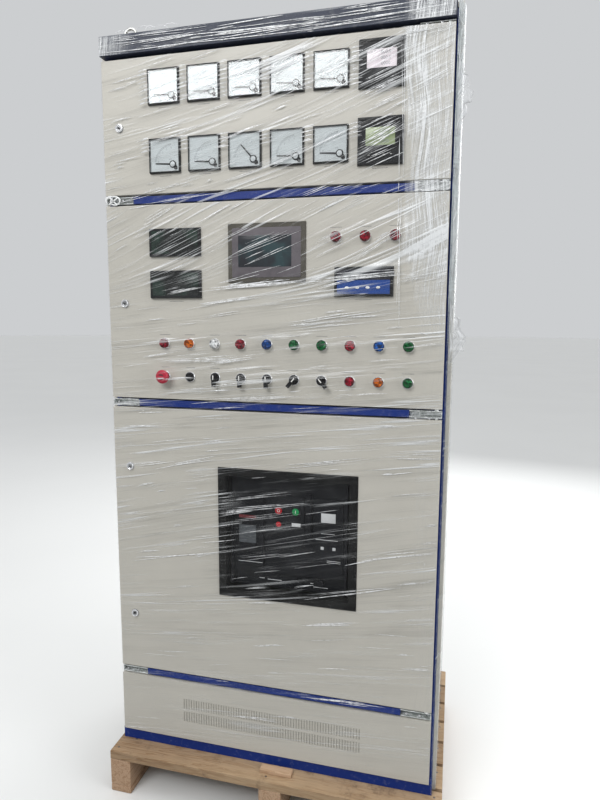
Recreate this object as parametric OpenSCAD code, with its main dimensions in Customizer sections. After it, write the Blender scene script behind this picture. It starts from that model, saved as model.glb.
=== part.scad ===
// Hydropower control cabinet: a floor-standing steel cabinet with three hinged doors,
// a switchboard's instruments, an air circuit breaker behind a window, and the pallet
// that it is shipped on. Millimetres, +Z up, doors face -Y.
// The origin is at the middle of the pallet's footprint, on the ground.

/* [Cabinet] */
// Width over the two side panels
cabinet_w = 1020; // [960:10:1220]
// Depth from the door faces to the rear cover
cabinet_d = 600; // [500:10:800]
// Place of the cabinet's middle from the pallet's middle
cabinet_x = -10; // [-20:1:20]
// Height of the base frame
base_h = 38; // [30:1:60]
// Thickness of the folded side panels
side_panel_t = 10; // [8:1:16]
// Sheet thickness of doors and panels
sheet_t = 2; // [1.5:0.5:3]
// Set-back of the base frame behind the door faces
base_setback = 8; // [1:1:12]

/* [Frame] */
// Width and depth of a post
post_size = 45; // [40:1:60]
// Wall of the rolled post section
post_wall = 2.5; // [2:0.5:4]
// Width of a rolled section's lips
post_lip = 10; // [6:1:12]
// Distance from the door faces to the posts
post_setback = 35; // [33:1:45]
// Height of a crossbeam's box behind the doors
beam_h = 45; // [40:1:60]
// Depth of a crossbeam's box
beam_depth = 40; // [30:1:45]
// Gap between fixed pieces that pass each other
fit_gap = 0.5; // [0.2:0.1:1]
// Distance from the door faces to a crossbeam's nose
nose_setback = 4; // [3:1:10]

/* [Doors] */
// Height of the vent panel under the doors
vent_panel_h = 197; // [150:1:230]
// Height of the lower door
lower_door_h = 847; // [800:1:900]
// Height of the middle door
middle_door_h = 563; // [540:1:620]
// Height of the upper door
upper_door_h = 371; // [340:1:400]
// Height of the gap between two doors
seam_h = 30; // [26:1:40]
// Depth of a door's folded edge
door_depth = 22; // [18:1:26]
// Width of the lip inside a fixed panel's folded edge
panel_lip = 14; // [10:1:20]
// Metal between a hinge pin's hole and the edge of the door's lip
pin_edge = 5.5; // [4:0.5:6]
// Gap round a fixed panel
panel_gap = 2; // [1:0.5:3]
// Gap beside the lock edge of a door
lock_side_gap = 7; // [5:1:8]
// Gap beside the hinge edge of a door
hinge_side_gap = 9; // [8:1:12]
// Gap that a fixed piece keeps from a door
door_clearance = 5; // [5:0.5:6]

/* [Hinges and locks] */
// Distance from a door's edge to its hinge pins
hinge_inset = 15; // [12:1:18]
// Distance from the door faces to the hinge pins
hinge_setback = 9; // [8:1:11]
// Diameter of a hinge pin
hinge_pin_d = 8; // [6:1:10]
// Diameter of the spacer under a door
hinge_spacer_d = 12; // [11:0.5:14]
// Radial clearance of a hinge pin in its door
pin_clearance = 0.1; // [0.05:0.01:0.1]
// Depth of a hinge pin in its door
pin_engage = 6; // [4:1:8]
// Width of a plated bracket at the end of a seam
bracket_w = 87; // [60:1:100]
// Sheet thickness of a plated bracket
bracket_t = 2.5; // [2:0.5:3]
// Distance from a lock to the door's lock edge
lock_inset = 53; // [28:1:60]
// Diameter of a lock's head
lock_head_d = 24; // [20:1:30]
// Height of a lock's head over the door's face
lock_head_h = 5; // [4:0.5:7]
// Diameter of a lock's barrel
lock_barrel_d = 18; // [14:1:19]
// Diameter of the key socket in a lock
lock_socket_d = 13; // [11:1:14]
// Width of a lock's tongue
lock_tongue_w = 14; // [10:1:18]
// Length of a lock's tongue below its barrel
lock_tongue_l = 30; // [26:1:32]
// Clearance of a lock's barrel in the door
lock_clearance = 0.2; // [0.1:0.1:0.4]
// Distance from the lower door's centre to either of its locks
lower_lock_offset = 240; // [150:1:300]

/* [Header and roof] */
// Gap between the upper door and the header
header_gap = 10; // [9:1:14]
// Height of the header
header_h = 53; // [40:1:80]
// Distance that the header stands proud of the doors
header_proud = 8; // [2:1:15]
// Gap between the header's end and the plane of the side panel's inner face
header_side_gap = 7; // [4:1:12]
// Step from the header's top down to the roof
roof_step = 2; // [2:1:5]
// Height of the roof panel's folded edge
roof_h = 15; // [10:1:20]
// Outer diameter of a lifting eye
eye_d = 44; // [36:1:60]
// Thickness of a lifting eye's ring
eye_bar_d = 8; // [6:1:12]
// Distance from the cabinet's side to a lifting eye
eye_inset_x = 83; // [50:1:100]
// Distance from the cabinet's front or rear to a lifting eye
eye_inset_y = 57; // [50:1:100]

/* [Vent panel] */
// Gap between the vent panel and the base frame
vent_gap = 1; // [0.5:0.5:3]
// Number of slots in a row
vent_slot_count = 68; // [20:1:72]
// Distance between two slots
vent_slot_pitch = 8.4; // [7:0.1:9]
// Width of a slot
vent_slot_w = 3.4; // [2.5:0.1:5]
// Height of a slot
vent_slot_h = 35; // [25:1:40]
// Distance from the panel's foot to the lower row's centre
vent_row_z = 79; // [60:1:90]
// Distance between the two rows
vent_row_pitch = 43; // [42:1:55]
// Place of the slots' middle from the cabinet's middle
vent_mid_x = 4; // [-20:1:20]

/* [Upper door instruments] */
// Edge of a pointer meter's bezel
meter_size = 96; // [90:1:100]
// Distance that a pointer meter's bezel overlaps the door
meter_overlap = 3; // [2:0.5:4]
// Depth of a pointer meter's case behind the door's face
meter_case_depth = 62; // [40:1:80]
// Height of a bezel over the door's face
meter_proud = 9; // [6:1:14]
// Slope of an instrument's bezel, from its foot to its front edge
bezel_slope = 1.5; // [0.5:0.5:3]
// Width of a pointer meter's bezel
meter_rim = 4; // [3:0.5:6]
// Depth of the dial behind a pointer meter's bezel
dial_recess = 4.5; // [3:0.5:5]
// Thickness of a dial
dial_t = 1.5; // [0.5:0.5:2]
// Gap between a dial and the bezel
dial_gap = 0.5; // [0.2:0.1:1]
// Clearance of an instrument's case in the door
cutout_gap = 0.5; // [0.2:0.1:1]
// Number of pointer meters in a row
meter_count = 5; // [3:1:5]
// Distance between two pointer meters
meter_pitch = 119.5; // [110:0.5:120]
// Place of the first pointer meter from the cabinet's middle
meter_first_x = -298; // [-310:1:-290]
// Distance of the upper meter row under the door's top
upper_meter_row_drop = 84; // [80:1:90]
// Height of the lower meter row over the door's foot
lower_meter_row_z = 102; // [90:1:110]
// Edge of a power meter's bezel
power_meter_size = 120; // [110:1:120]
// Distance that a power meter's bezel overlaps the door
power_meter_overlap = 5; // [4:0.5:6]
// Distance of the upper power meter under the door's top
power_meter_drop = 80; // [80:1:85]
// Width of a power meter's bezel
power_meter_rim = 8; // [6:1:12]
// Width of a power meter's display
power_display_w = 77; // [60:1:90]
// Height of a power meter's display
power_display_h = 46; // [35:1:50]
// Height of a power meter's display over its middle
power_display_z = 11; // [8:1:16]
// Number of keys under a power meter's display
power_key_count = 4; // [3:1:6]
// Gap between the last pointer meter and the power meters
power_meter_gap = 23; // [20:1:30]
// Depth of a power meter's case behind the door's face
power_meter_depth = 66; // [50:1:90]

/* [Middle door instruments] */
// Width of a long instrument's bezel
indicator_w = 160; // [150:1:165]
// Height of a long instrument's bezel
indicator_h = 80; // [70:1:85]
// Distance that a long instrument's bezel overlaps the door
indicator_overlap = 4; // [3:0.5:5]
// Width of a long instrument's bezel rim
indicator_rim = 7; // [5:0.5:9]
// Depth of the recess in an instrument's face
face_recess = 2; // [1:0.5:3]
// Depth of a long instrument's case behind the door's face
indicator_depth = 82; // [60:1:100]
// Place of the two indicators from the cabinet's middle
indicator_x = -273; // [-280:1:-270]
// Height of the upper indicator over the door's foot
upper_indicator_z = 455; // [450:1:470]
// Height of the lower indicator over the door's foot
lower_indicator_z = 336; // [325:1:345]
// Width of the touch screen
screen_w = 226; // [210:1:240]
// Height of the touch screen
screen_h = 163; // [150:1:175]
// Distance that the touch screen's bezel overlaps the door
screen_overlap = 6; // [4:0.5:8]
// Width of the touch screen's bezel
screen_rim = 14; // [12:1:20]
// Height of the touch screen's bezel over the door's face
screen_proud = 6; // [5:0.5:8]
// Depth of the touch screen's case behind the door's face
screen_depth = 38; // [30:1:60]
// Place of the touch screen from the cabinet's middle
screen_x = 2; // [-10:1:10]
// Height of the touch screen over the door's foot
screen_z = 420; // [410:1:430]
// Place of the speed controller from the cabinet's middle
controller_x = 274; // [265:1:290]
// Height of the speed controller over the door's foot
controller_z = 338; // [325:1:350]
// Number of keys on the speed controller
controller_key_count = 4; // [3:1:6]
// Distance between two keys of the speed controller
controller_key_pitch = 28; // [24:1:32]
// Distance of the speed controller's keys under its middle
controller_key_drop = 16; // [14:1:20]
// Height of the three upper lamps over the door's foot
trio_z = 457; // [450:1:470]
// Place of the first of the three upper lamps
trio_first_x = 197; // [190:1:205]
// Distance between two lamps
lamp_pitch = 79; // [70:0.5:79]
// Place of the first lamp in a row of ten
lamp_first_x = -313; // [-320:1:-310]
// Height of the lamp row over the door's foot
lamp_row_z = 166; // [160:1:175]
// Height of the switch row over the door's foot
switch_row_z = 68; // [60:1:75]
// Diameter of a lamp's or switch's collar
collar_d = 30; // [28:0.5:32]
// Diameter of the hole for a lamp or switch
device_hole_d = 22.5; // [20:0.5:24]
// Height of a lamp's or switch's collar over the door's face
collar_h = 4; // [3:0.5:6]
// Depth of a lamp or switch behind the door's face
device_depth = 48; // [40:1:60]
// Thickness of the nut behind the door
device_nut_t = 5; // [4:0.5:7]
// Diameter of a lamp's lens
lens_d = 26; // [22:0.5:27]
// Height of a lamp's lens over its collar
lens_h = 11.5; // [8:0.5:14]
// Diameter of the emergency stop's mushroom
stop_d = 40; // [35:1:45]
// Height of the emergency stop over its collar
stop_h = 28; // [24:1:32]
// Diameter of a button's plunger or a selector's head
knob_d = 22; // [18:0.5:24]
// Height of a button's plunger over its collar
plunger_h = 6; // [4:0.5:8]
// Width of a selector's lever
lever_w = 10; // [8:0.5:12]
// Length of a selector's lever from its pivot
lever_l = 25; // [20:1:28]
// Height of a selector's lever over its head
lever_h = 11; // [8:0.5:14]

/* [Breaker] */
// Width of the surround on the lower door
surround_w = 422; // [400:1:440]
// Height of the surround on the lower door
surround_h = 400; // [380:1:420]
// Height of the surround over the door's face
surround_proud = 4; // [3:0.5:6]
// Distance that the surround's rim overlaps the door
surround_overlap = 16; // [12:1:18]
// Width of the surround's rim
surround_rim = 25; // [20:1:30]
// Place of the breaker from the cabinet's middle
breaker_x = 59; // [40:1:70]
// Height of the breaker's centre over the lower door's foot
breaker_z = 479; // [460:1:490]
// Gap between the surround and the breaker
breaker_gap = 8; // [6:1:12]
// Distance from the door faces to the breaker's front
breaker_setback = 18; // [15:1:25]
// Depth of the breaker
breaker_depth = 300; // [250:1:330]
// Depth of the breaker's front cover
breaker_front_t = 30; // [24:1:40]
// Depth of the cover's recessed ground behind its controls
face_step = 6; // [4:1:8]
// Thickness of the cradle's side plates
cheek_t = 6; // [4:1:8]
// Height of the cradle's side plates
cheek_h = 285; // [240:1:300]
// Height of the arc chambers on the breaker
chute_h = 60; // [40:1:80]
// Number of arc chambers
chute_count = 3; // [3:1:4]
// Width of the gap between two arc chambers
chute_gap = 6; // [4:1:10]
// Width and height of a rail that carries the breaker
rail_size = 40; // [30:1:50]
// Distance from the door faces to the first rail under the breaker
first_rail_y = 100; // [100:1:120]
// Distance between the two rails under the breaker
rail_pitch = 160; // [120:1:180]

/* [Breaker face] */
// Width of the trip unit
trip_w = 82; // [70:1:90]
// Height of the trip unit
trip_h = 221; // [180:1:225]
// Place of the trip unit from the breaker's middle
trip_x = -117; // [-120:1:-116]
// Height of the trip unit over the breaker's middle
trip_z = 7; // [0:1:10]
// Width of the trip unit's display
trip_display_w = 54; // [40:1:60]
// Height of the trip unit's display
trip_display_h = 56; // [40:1:60]
// Place of the display from the trip unit's middle
trip_display_x = -9; // [-12:1:0]
// Distance of the display under the trip unit's middle
trip_display_drop = 13; // [10:1:15]
// Distance of the trip unit's keys under its middle
trip_key_drop = 76; // [72:1:80]
// Edge of a key on the trip unit
trip_key_size = 10; // [8:1:12]
// Number of keys on the trip unit
trip_key_count = 5; // [3:1:5]
// Width of the operating cover with the on and off buttons
cover_w = 116; // [100:1:118]
// Height of the operating cover
cover_h = 152; // [140:1:160]
// Place of the operating cover from the breaker's middle
cover_x = -10; // [-12:1:-8]
// Height of the operating cover over the breaker's middle
cover_z = 41; // [36:1:44]
// Diameter of the on button and of the off button
breaker_button_d = 30; // [26:1:32]
// Distance between the on button and the off button
breaker_button_pitch = 52; // [44:1:56]
// Height of the on and off buttons over the breaker's middle
breaker_button_z = 75; // [70:1:80]
// Distance from the buttons down to the reset button and the state window
state_drop = 42; // [36:1:46]
// Diameter of the reset button
reset_d = 25; // [20:1:28]
// Width of the state window
state_w = 28; // [22:1:30]
// Height of the state window
state_h = 12; // [9:1:14]
// Width of the charging handle
handle_w = 19; // [16:1:19]
// Height of the charging handle
handle_h = 131; // [110:1:135]
// Place of the charging handle from the breaker's middle
handle_x = 62; // [61:1:63]
// Height of the charging handle over the breaker's middle
handle_z = 63; // [58:1:66]
// Width of the rating panel
rating_w = 88; // [80:1:90]
// Place of the rating panel from the breaker's middle
rating_x = 121; // [120:1:122]
// Height of the drawer front under the cover
drawer_h = 37; // [30:1:38]
// Depth of the drawer front behind the cover
drawer_recess = 20; // [12:1:22]
// Diameter of the racking hole
racking_d = 16; // [12:1:18]
// Place of the racking hole from the breaker's middle
racking_x = 32; // [20:1:40]
// Diameter of the position knob
position_knob_d = 20; // [16:1:22]
// Place of the position knob from the breaker's middle
position_knob_x = 97; // [80:1:100]

/* [Pallet] */
// Width of the pallet
pallet_w = 1040; // [1020:5:1250]
// Depth of the pallet
pallet_d = 730; // [620:5:900]
// Thickness of a deck board
deck_t = 28; // [18:1:35]
// Number of deck boards
deck_count = 7; // [5:1:9]
// Gap between two deck boards
deck_gap = 12; // [5:1:30]
// Width of a bearer under the deck
bearer_w = 70; // [50:1:100]
// Height of a bearer
bearer_h = 88; // [60:1:100]
// Place of the middle bearer from the pallet's middle
middle_bearer_x = 16; // [-20:1:30]
// Thickness of a skid board under a bearer
skid_t = 24; // [15:1:30]
// Length of the stop block before the cabinet
stop_block_l = 100; // [60:1:150]
// Width of the stop block
stop_block_w = 28; // [20:1:30]
// Height of the stop block
stop_block_h = 12; // [8:1:20]
// Gap between the stop block and the base frame
stop_block_gap = 14; // [5:1:16]
// Place of the stop block from the cabinet's middle
stop_block_x = 35; // [-50:1:50]

/* [Hidden] */
$fn = 48;
// A cut reaches this far past the faces that it opens
over = 1;
// Gap between a door and the spacer that it runs on
seat_gap = 0.3;

pallet_h = skid_t + bearer_h + deck_t;
side_inner_x = cabinet_w / 2 - side_panel_t;
header_x = side_inner_x - header_side_gap;
door_x0 = -side_inner_x + lock_side_gap;
door_x1 = side_inner_x - hinge_side_gap;
hinge_x = door_x1 - hinge_inset;
vent_z0 = base_h;
vent_z1 = vent_z0 + vent_panel_h;
lower_z0 = vent_z1 + seam_h;
lower_z1 = lower_z0 + lower_door_h;
middle_z0 = lower_z1 + seam_h;
middle_z1 = middle_z0 + middle_door_h;
upper_z0 = middle_z1 + seam_h;
upper_z1 = upper_z0 + upper_door_h;
header_z0 = upper_z1 + header_gap;
header_z1 = header_z0 + header_h;
door_lip = hinge_inset + hinge_pin_d / 2 + pin_edge;
roof_z1 = header_z1 - roof_step;
roof_z0 = header_z1 - roof_h;
frame_z1 = roof_z0 - sheet_t;
seams = [vent_z1, lower_z1, middle_z1];
nose_h = seam_h - 2 * door_clearance;
rear_post_y1 = cabinet_d - side_panel_t;
rear_post_y0 = rear_post_y1 - post_size;
front_post_y1 = post_setback + post_size;
bracket_x1 = door_x1;
bracket_x0 = bracket_x1 - bracket_w;
mirror_bracket_x0 = door_x0;
mirror_bracket_x1 = mirror_bracket_x0 + bracket_w;
breaker_cz = lower_z0 + breaker_z;
breaker_w = surround_w - 2 * surround_rim - 2 * breaker_gap;
breaker_h = surround_h - 2 * surround_rim - 2 * breaker_gap;
breaker_z0 = breaker_cz - breaker_h / 2;
rail_z0 = breaker_z0 - rail_size;
breaker_front_y1 = breaker_setback + breaker_front_t;
power_meter_x = meter_first_x + (meter_count - 1) * meter_pitch
    + (meter_size + power_meter_size) / 2 + power_meter_gap;
key_gap = 4;
key_proud = 1;

LAMP_ROW = ["red", "orange", "white", "red", "blue", "green", "green", "red", "blue", "green"];
SWITCH_ROW = ["stop", "push", "select", "select", "select", "select", "select", "red", "orange", "green"];
SELECTOR_TURN = [0, 0, 0, 40, -40];

BLUE = [0.16, 0.22, 0.58];
GREY = [0.78, 0.78, 0.74];
SLATE = [0.20, 0.23, 0.30];
ZINC = [0.72, 0.74, 0.74];
BLACK = [0.08, 0.08, 0.09];
PINE = [0.80, 0.66, 0.46];

// Places what is drawn in the cabinet's own frame: y from the door faces, z from the base
module in_cabinet() {
    translate([cabinet_x, -cabinet_d / 2, pallet_h]) children();
}

// A block between two corners
module block(x0, x1, y0, y1, z0, z1) {
    translate([x0, y0, z0]) cube([x1 - x0, y1 - y0, z1 - z0]);
}

// A cylinder along y between two depths
module bar_y(d, y0, y1) {
    translate([0, y0, 0]) rotate([-90, 0, 0]) cylinder(d = d, h = y1 - y0);
}

// A block centred on x and z between two depths
module plate(w, h, y0, y1) {
    block(-w / 2, w / 2, y0, y1, -h / 2, h / 2);
}

// A sheet pan: a face, four folded edges and the lips inside them
module pan(x0, x1, z0, z1, depth, lip) {
    difference() {
        block(x0, x1, 0, depth, z0, z1);
        block(x0 + sheet_t, x1 - sheet_t, sheet_t, depth - sheet_t, z0 + sheet_t, z1 - sheet_t);
        block(x0 + lip, x1 - lip, sheet_t, depth + over, z0 + lip, z1 - lip);
    }
}

// A rolled section with its web along y, open towards +x and lipped
module rolled_section(w, h, lip) {
    difference() {
        square([w, h]);
        translate([post_wall, post_wall]) square([w, h - 2 * post_wall]);
    }
    for (y = [0, h - lip])
        translate([w - post_wall, y]) square([post_wall, lip]);
}

// A length of rolled section along x between two places, with its web towards -y
module rolled_beam(x0, x1, y0, z0, depth, h, lip) {
    translate([x0, y0, z0]) rotate([90, 0, 90])
        linear_extrude(x1 - x0) rolled_section(depth, h, lip);
}

module post(side, y0) {
    mirror([side > 0 ? 1 : 0, 0, 0])
        translate([-side_inner_x, y0, base_h])
            linear_extrude(frame_z1 - beam_h - base_h) rolled_section(post_size, post_size, post_lip);
}

// A ring of channel, open towards its inside
module channel_ring(y0, y1, z0, z1) {
    difference() {
        block(-side_inner_x, side_inner_x, y0, y1, z0, z1);
        block(-side_inner_x + post_size, side_inner_x - post_size,
              front_post_y1, rear_post_y0, z0 - over, z1 + over);
        block(-side_inner_x + post_wall, side_inner_x - post_wall,
              y0 + post_wall, y1 - post_wall, z0 + post_wall, z1 - post_wall);
    }
}

module base_frame() {
    color(BLUE) in_cabinet() channel_ring(base_setback, rear_post_y1, 0, base_h);
}

module front_posts() {
    color(BLUE) in_cabinet() for (side = [-1, 1]) post(side, post_setback);
}

module rear_posts() {
    color(BLUE) in_cabinet() for (side = [-1, 1]) post(side, rear_post_y0);
}

module top_frame() {
    color(BLUE) in_cabinet() channel_ring(post_setback, rear_post_y1, frame_z1 - beam_h, frame_z1);
}

module crossbeams() {
    color(BLUE) in_cabinet() for (z = seams) translate([0, 0, z + seam_h / 2]) {
        rolled_beam(-side_inner_x + post_size, side_inner_x - post_size,
                    post_setback, -beam_h / 2, beam_depth, beam_h, post_lip);
        block(mirror_bracket_x1 + fit_gap, bracket_x0 - fit_gap,
              nose_setback, post_setback, -nose_h / 2, nose_h / 2);
    }
}

// A folded bracket that stands on the front of the posts, between two doors
module seam_bracket(x0, x1) {
    difference() {
        block(x0, x1, nose_setback, post_setback, -nose_h / 2, nose_h / 2);
        block(x0 - over, x1 - bracket_t, nose_setback - over, post_setback - bracket_t,
              -nose_h / 2 + bracket_t, nose_h / 2 - bracket_t);
    }
}

// A hinge pin that stands up from z = 0 on a spacer
module pin_up() {
    cylinder(d = hinge_pin_d, h = door_clearance + pin_engage);
    cylinder(d = hinge_spacer_d, h = door_clearance - seat_gap);
}

module hinge_brackets() {
    color(ZINC) in_cabinet() {
        for (i = [0:2]) translate([0, 0, seams[i] + seam_h / 2]) {
            seam_bracket(bracket_x0, bracket_x1);
            mirror([1, 0, 0]) seam_bracket(-mirror_bracket_x1, -mirror_bracket_x0);
            translate([hinge_x, hinge_setback, nose_h / 2]) pin_up();
            if (i > 0) translate([hinge_x, hinge_setback, -nose_h / 2])
                mirror([0, 0, 1]) cylinder(d = hinge_pin_d, h = door_clearance + pin_engage);
        }
        block(bracket_x0, bracket_x1, nose_setback, post_setback,
              upper_z1 + door_clearance, upper_z1 + door_clearance + bracket_t);
        translate([hinge_x, hinge_setback, upper_z1 - pin_engage])
            cylinder(d = hinge_pin_d, h = door_clearance + pin_engage);
    }
}

// A side panel: a shallow tray whose front edge stands in line with the posts' fronts
module side_panel() {
    difference() {
        block(-cabinet_w / 2, -side_inner_x, post_setback, cabinet_d, 0, roof_z0);
        block(-cabinet_w / 2 + sheet_t, -side_inner_x + over, post_setback + sheet_t,
              cabinet_d - sheet_t, sheet_t, roof_z0 - sheet_t);
    }
}

module left_side_panel() {
    color(GREY) in_cabinet() side_panel();
}

module right_side_panel() {
    color(GREY) in_cabinet() mirror([1, 0, 0]) side_panel();
}

module rear_cover() {
    color(GREY) in_cabinet() translate([0, cabinet_d, 0]) mirror([0, 1, 0])
        pan(-side_inner_x + panel_gap, side_inner_x - panel_gap, base_h, roof_z0 - panel_gap,
            side_panel_t, panel_lip);
}

module roof_panel() {
    color(GREY) in_cabinet() difference() {
        block(-cabinet_w / 2, cabinet_w / 2, post_setback, cabinet_d, roof_z0, roof_z1);
        block(-cabinet_w / 2 + sheet_t, cabinet_w / 2 - sheet_t, post_setback + sheet_t,
              cabinet_d - sheet_t, roof_z0 - over, roof_z1 - sheet_t);
    }
}

// A folded trough, open towards the roof's front edge
module header() {
    color(SLATE) in_cabinet() difference() {
        block(-header_x, header_x, -header_proud, post_setback, header_z0, header_z1);
        block(-header_x + sheet_t, header_x - sheet_t,
              -header_proud + sheet_t, post_setback + over, header_z0 + sheet_t, header_z1 - sheet_t);
    }
}

// A forged ring on a collar, with its shank in the roof
module lifting_eye() {
    ring_r = (eye_d - eye_bar_d) / 2;
    translate([0, 0, ring_r + eye_bar_d]) rotate([90, 0, 0])
        rotate_extrude() translate([ring_r, 0]) circle(d = eye_bar_d, $fn = 24);
    cylinder(d = 2.4 * eye_bar_d, h = eye_bar_d);
}

module lifting_eyes() {
    color(ZINC) in_cabinet()
        for (x = [-cabinet_w / 2 + eye_inset_x, cabinet_w / 2 - eye_inset_x])
            for (y = [eye_inset_y, cabinet_d - eye_inset_y])
                translate([x, y, roof_z1]) lifting_eye();
}

module vent_panel() {
    color(GREY) in_cabinet() difference() {
        pan(door_x0, door_x1, vent_z0 + vent_gap, vent_z1, post_setback, panel_lip);
        for (row = [0, 1])
            for (i = [0:vent_slot_count - 1])
                translate([vent_mid_x + (i - (vent_slot_count - 1) / 2) * vent_slot_pitch, 0,
                           vent_z0 + vent_row_z + row * vent_row_pitch])
                    plate(vent_slot_w, vent_slot_h, -over, sheet_t + over);
    }
}

module side_rails() {
    color(ZINC) in_cabinet() for (side = [0, 1]) mirror([side, 0, 0])
        translate([-side_inner_x + rail_size, front_post_y1, rail_z0]) rotate([0, 0, 90])
            rolled_beam(0, rear_post_y0 - front_post_y1, 0, 0, rail_size, rail_size, post_lip);
}

module breaker_rails() {
    color(ZINC) in_cabinet() for (y = [first_rail_y, first_rail_y + rail_pitch])
        rolled_beam(-side_inner_x + rail_size, side_inner_x - rail_size,
                    y, rail_z0, rail_size, rail_size, post_lip);
}

// The moulded body with its arc chambers, between the cradle's side plates
module breaker_body() {
    y1 = breaker_setback + breaker_depth;
    body_w = breaker_w - 2 * cheek_t;
    chute_w = (body_w - (chute_count - 1) * chute_gap) / chute_count;
    color(BLACK) in_cabinet() translate([breaker_x, 0, breaker_cz]) {
        difference() {
            plate(body_w, breaker_h, breaker_front_y1, y1);
            for (i = [1:chute_count - 1])
                translate([-body_w / 2 + i * (chute_w + chute_gap) - chute_gap, 0, 0])
                    block(0, chute_gap, breaker_front_y1 + cheek_t, y1 + over,
                          breaker_h / 2 - chute_h, breaker_h / 2 + over);
        }
        for (side = [0, 1]) mirror([side, 0, 0])
            block(-breaker_w / 2, -body_w / 2, breaker_front_y1, y1,
                  -breaker_h / 2, -breaker_h / 2 + cheek_h);
    }
}

// A round control that stands out of the cover's ground
module cover_button(x, z, d) {
    translate([x, 0, z]) {
        bar_y(d, breaker_setback + face_step / 2, breaker_setback + face_step);
        bar_y(d - 2 * key_gap, breaker_setback, breaker_setback + face_step);
    }
}

// The trip unit: a raised housing with a sunk display, a band over it and keys under it
module trip_unit() {
    face_y = breaker_setback + face_step / 3;
    translate([trip_x, 0, trip_z]) {
        difference() {
            plate(trip_w, trip_h, face_y, breaker_front_y1);
            translate([trip_display_x, 0, -trip_display_drop])
                plate(trip_display_w, trip_display_h, face_y - over, face_y + face_recess);
            translate([trip_display_x, 0, trip_display_h / 2 + trip_display_drop])
                plate(trip_display_w, trip_key_size, face_y - over, face_y + face_recess);
        }
        for (i = [0:trip_key_count - 1])
            translate([(i - (trip_key_count - 1) / 2) * (trip_key_size + key_gap), 0, -trip_key_drop])
                plate(trip_key_size, trip_key_size, face_y - key_proud, face_y);
    }
}

// The operating cover: off and on buttons, the reset button and the state window
module operating_cover() {
    face_y = breaker_setback + face_step;
    middle = cover_x + key_gap * 2;
    difference() {
        translate([cover_x, 0, cover_z]) plate(cover_w, cover_h, face_y, breaker_front_y1);
        translate([middle + breaker_button_pitch / 2, 0, breaker_button_z - state_drop])
            plate(state_w, state_h, face_y - over, face_y + face_recess);
    }
    for (side = [-1, 1])
        cover_button(middle + side * breaker_button_pitch / 2, breaker_button_z, breaker_button_d);
    cover_button(middle - breaker_button_pitch / 2, breaker_button_z - state_drop, reset_d);
}

// The charging handle: a lever with a grip that stands out at its top
module charging_handle() {
    translate([handle_x, 0, handle_z]) {
        plate(handle_w, handle_h, breaker_setback + face_step / 2, breaker_front_y1);
        translate([0, 0, (handle_h - handle_w) / 2])
            plate(handle_w - key_gap, handle_w, breaker_setback, breaker_setback + face_step);
    }
}

// The rating panel, with the sunk fields for its plates
module rating_panel() {
    face_y = breaker_setback + face_step;
    translate([rating_x, 0, trip_z]) difference() {
        plate(rating_w, trip_h, face_y, breaker_front_y1);
        translate([0, 0, trip_h / 4])
            plate(rating_w / 2, rating_w / 3, face_y - over, face_y + key_proud);
        for (side = [-1, 1]) translate([side * rating_w / 5, 0, -trip_h / 6])
            plate(trip_key_size, trip_key_size, face_y - over, face_y + face_recess);
    }
}

module breaker_front() {
    ground_y = breaker_setback + face_step + face_recess * 2;
    drawer_y = breaker_setback + drawer_recess;
    drawer_z = (drawer_h - breaker_h) / 2 + cheek_t;
    color(BLACK) in_cabinet() translate([breaker_x, 0, breaker_cz]) {
        difference() {
            plate(breaker_w, breaker_h, ground_y, breaker_front_y1);
            translate([0, 0, drawer_z])
                plate(breaker_w - 2 * cheek_t, drawer_h, ground_y - over, drawer_y);
            translate([racking_x, 0, drawer_z])
                bar_y(racking_d, drawer_y - over, drawer_y + face_step);
        }
        for (side = [0, 1]) mirror([side, 0, 0])
            block(-breaker_w / 2, -breaker_w / 2 + cheek_t, breaker_setback, ground_y,
                  -breaker_h / 2, -breaker_h / 2 + cheek_h);
        trip_unit();
        operating_cover();
        charging_handle();
        rating_panel();
        translate([position_knob_x, 0, drawer_z])
            bar_y(position_knob_d, ground_y, drawer_y);
    }
}

module pallet_deck() {
    board_w = (pallet_d - (deck_count - 1) * deck_gap) / deck_count;
    color(PINE) for (i = [0:deck_count - 1])
        translate([-pallet_w / 2, -pallet_d / 2 + i * (board_w + deck_gap), pallet_h - deck_t])
            cube([pallet_w, board_w, deck_t]);
}

// The three lines that carry the deck
module bearer_lines(z0, h) {
    for (x = [-pallet_w / 2, middle_bearer_x - bearer_w / 2, pallet_w / 2 - bearer_w])
        translate([x, -pallet_d / 2, z0]) cube([bearer_w, pallet_d, h]);
}

module pallet_bearers() {
    color(PINE) bearer_lines(skid_t, bearer_h);
}

module pallet_skids() {
    color(PINE) bearer_lines(0, skid_t);
}

module stop_block() {
    color(PINE) in_cabinet()
        translate([stop_block_x, base_setback - stop_block_gap - stop_block_w / 2, stop_block_h / 2])
            rotate([90, 0, 0]) plate(stop_block_l, stop_block_w, -stop_block_h / 2, stop_block_h / 2);
}

// Cuts the two pin holes of a door
module pin_holes(z0, z1) {
    for (z = [z0, z1]) translate([hinge_x, hinge_setback, z])
        cylinder(d = hinge_pin_d + 2 * pin_clearance, h = 2 * sheet_t + 2 * over, center = true);
}

module door(z0, z1) {
    difference() {
        pan(door_x0, door_x1, z0, z1, door_depth, door_lip);
        pin_holes(z0, z1);
        children();
    }
}

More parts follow.
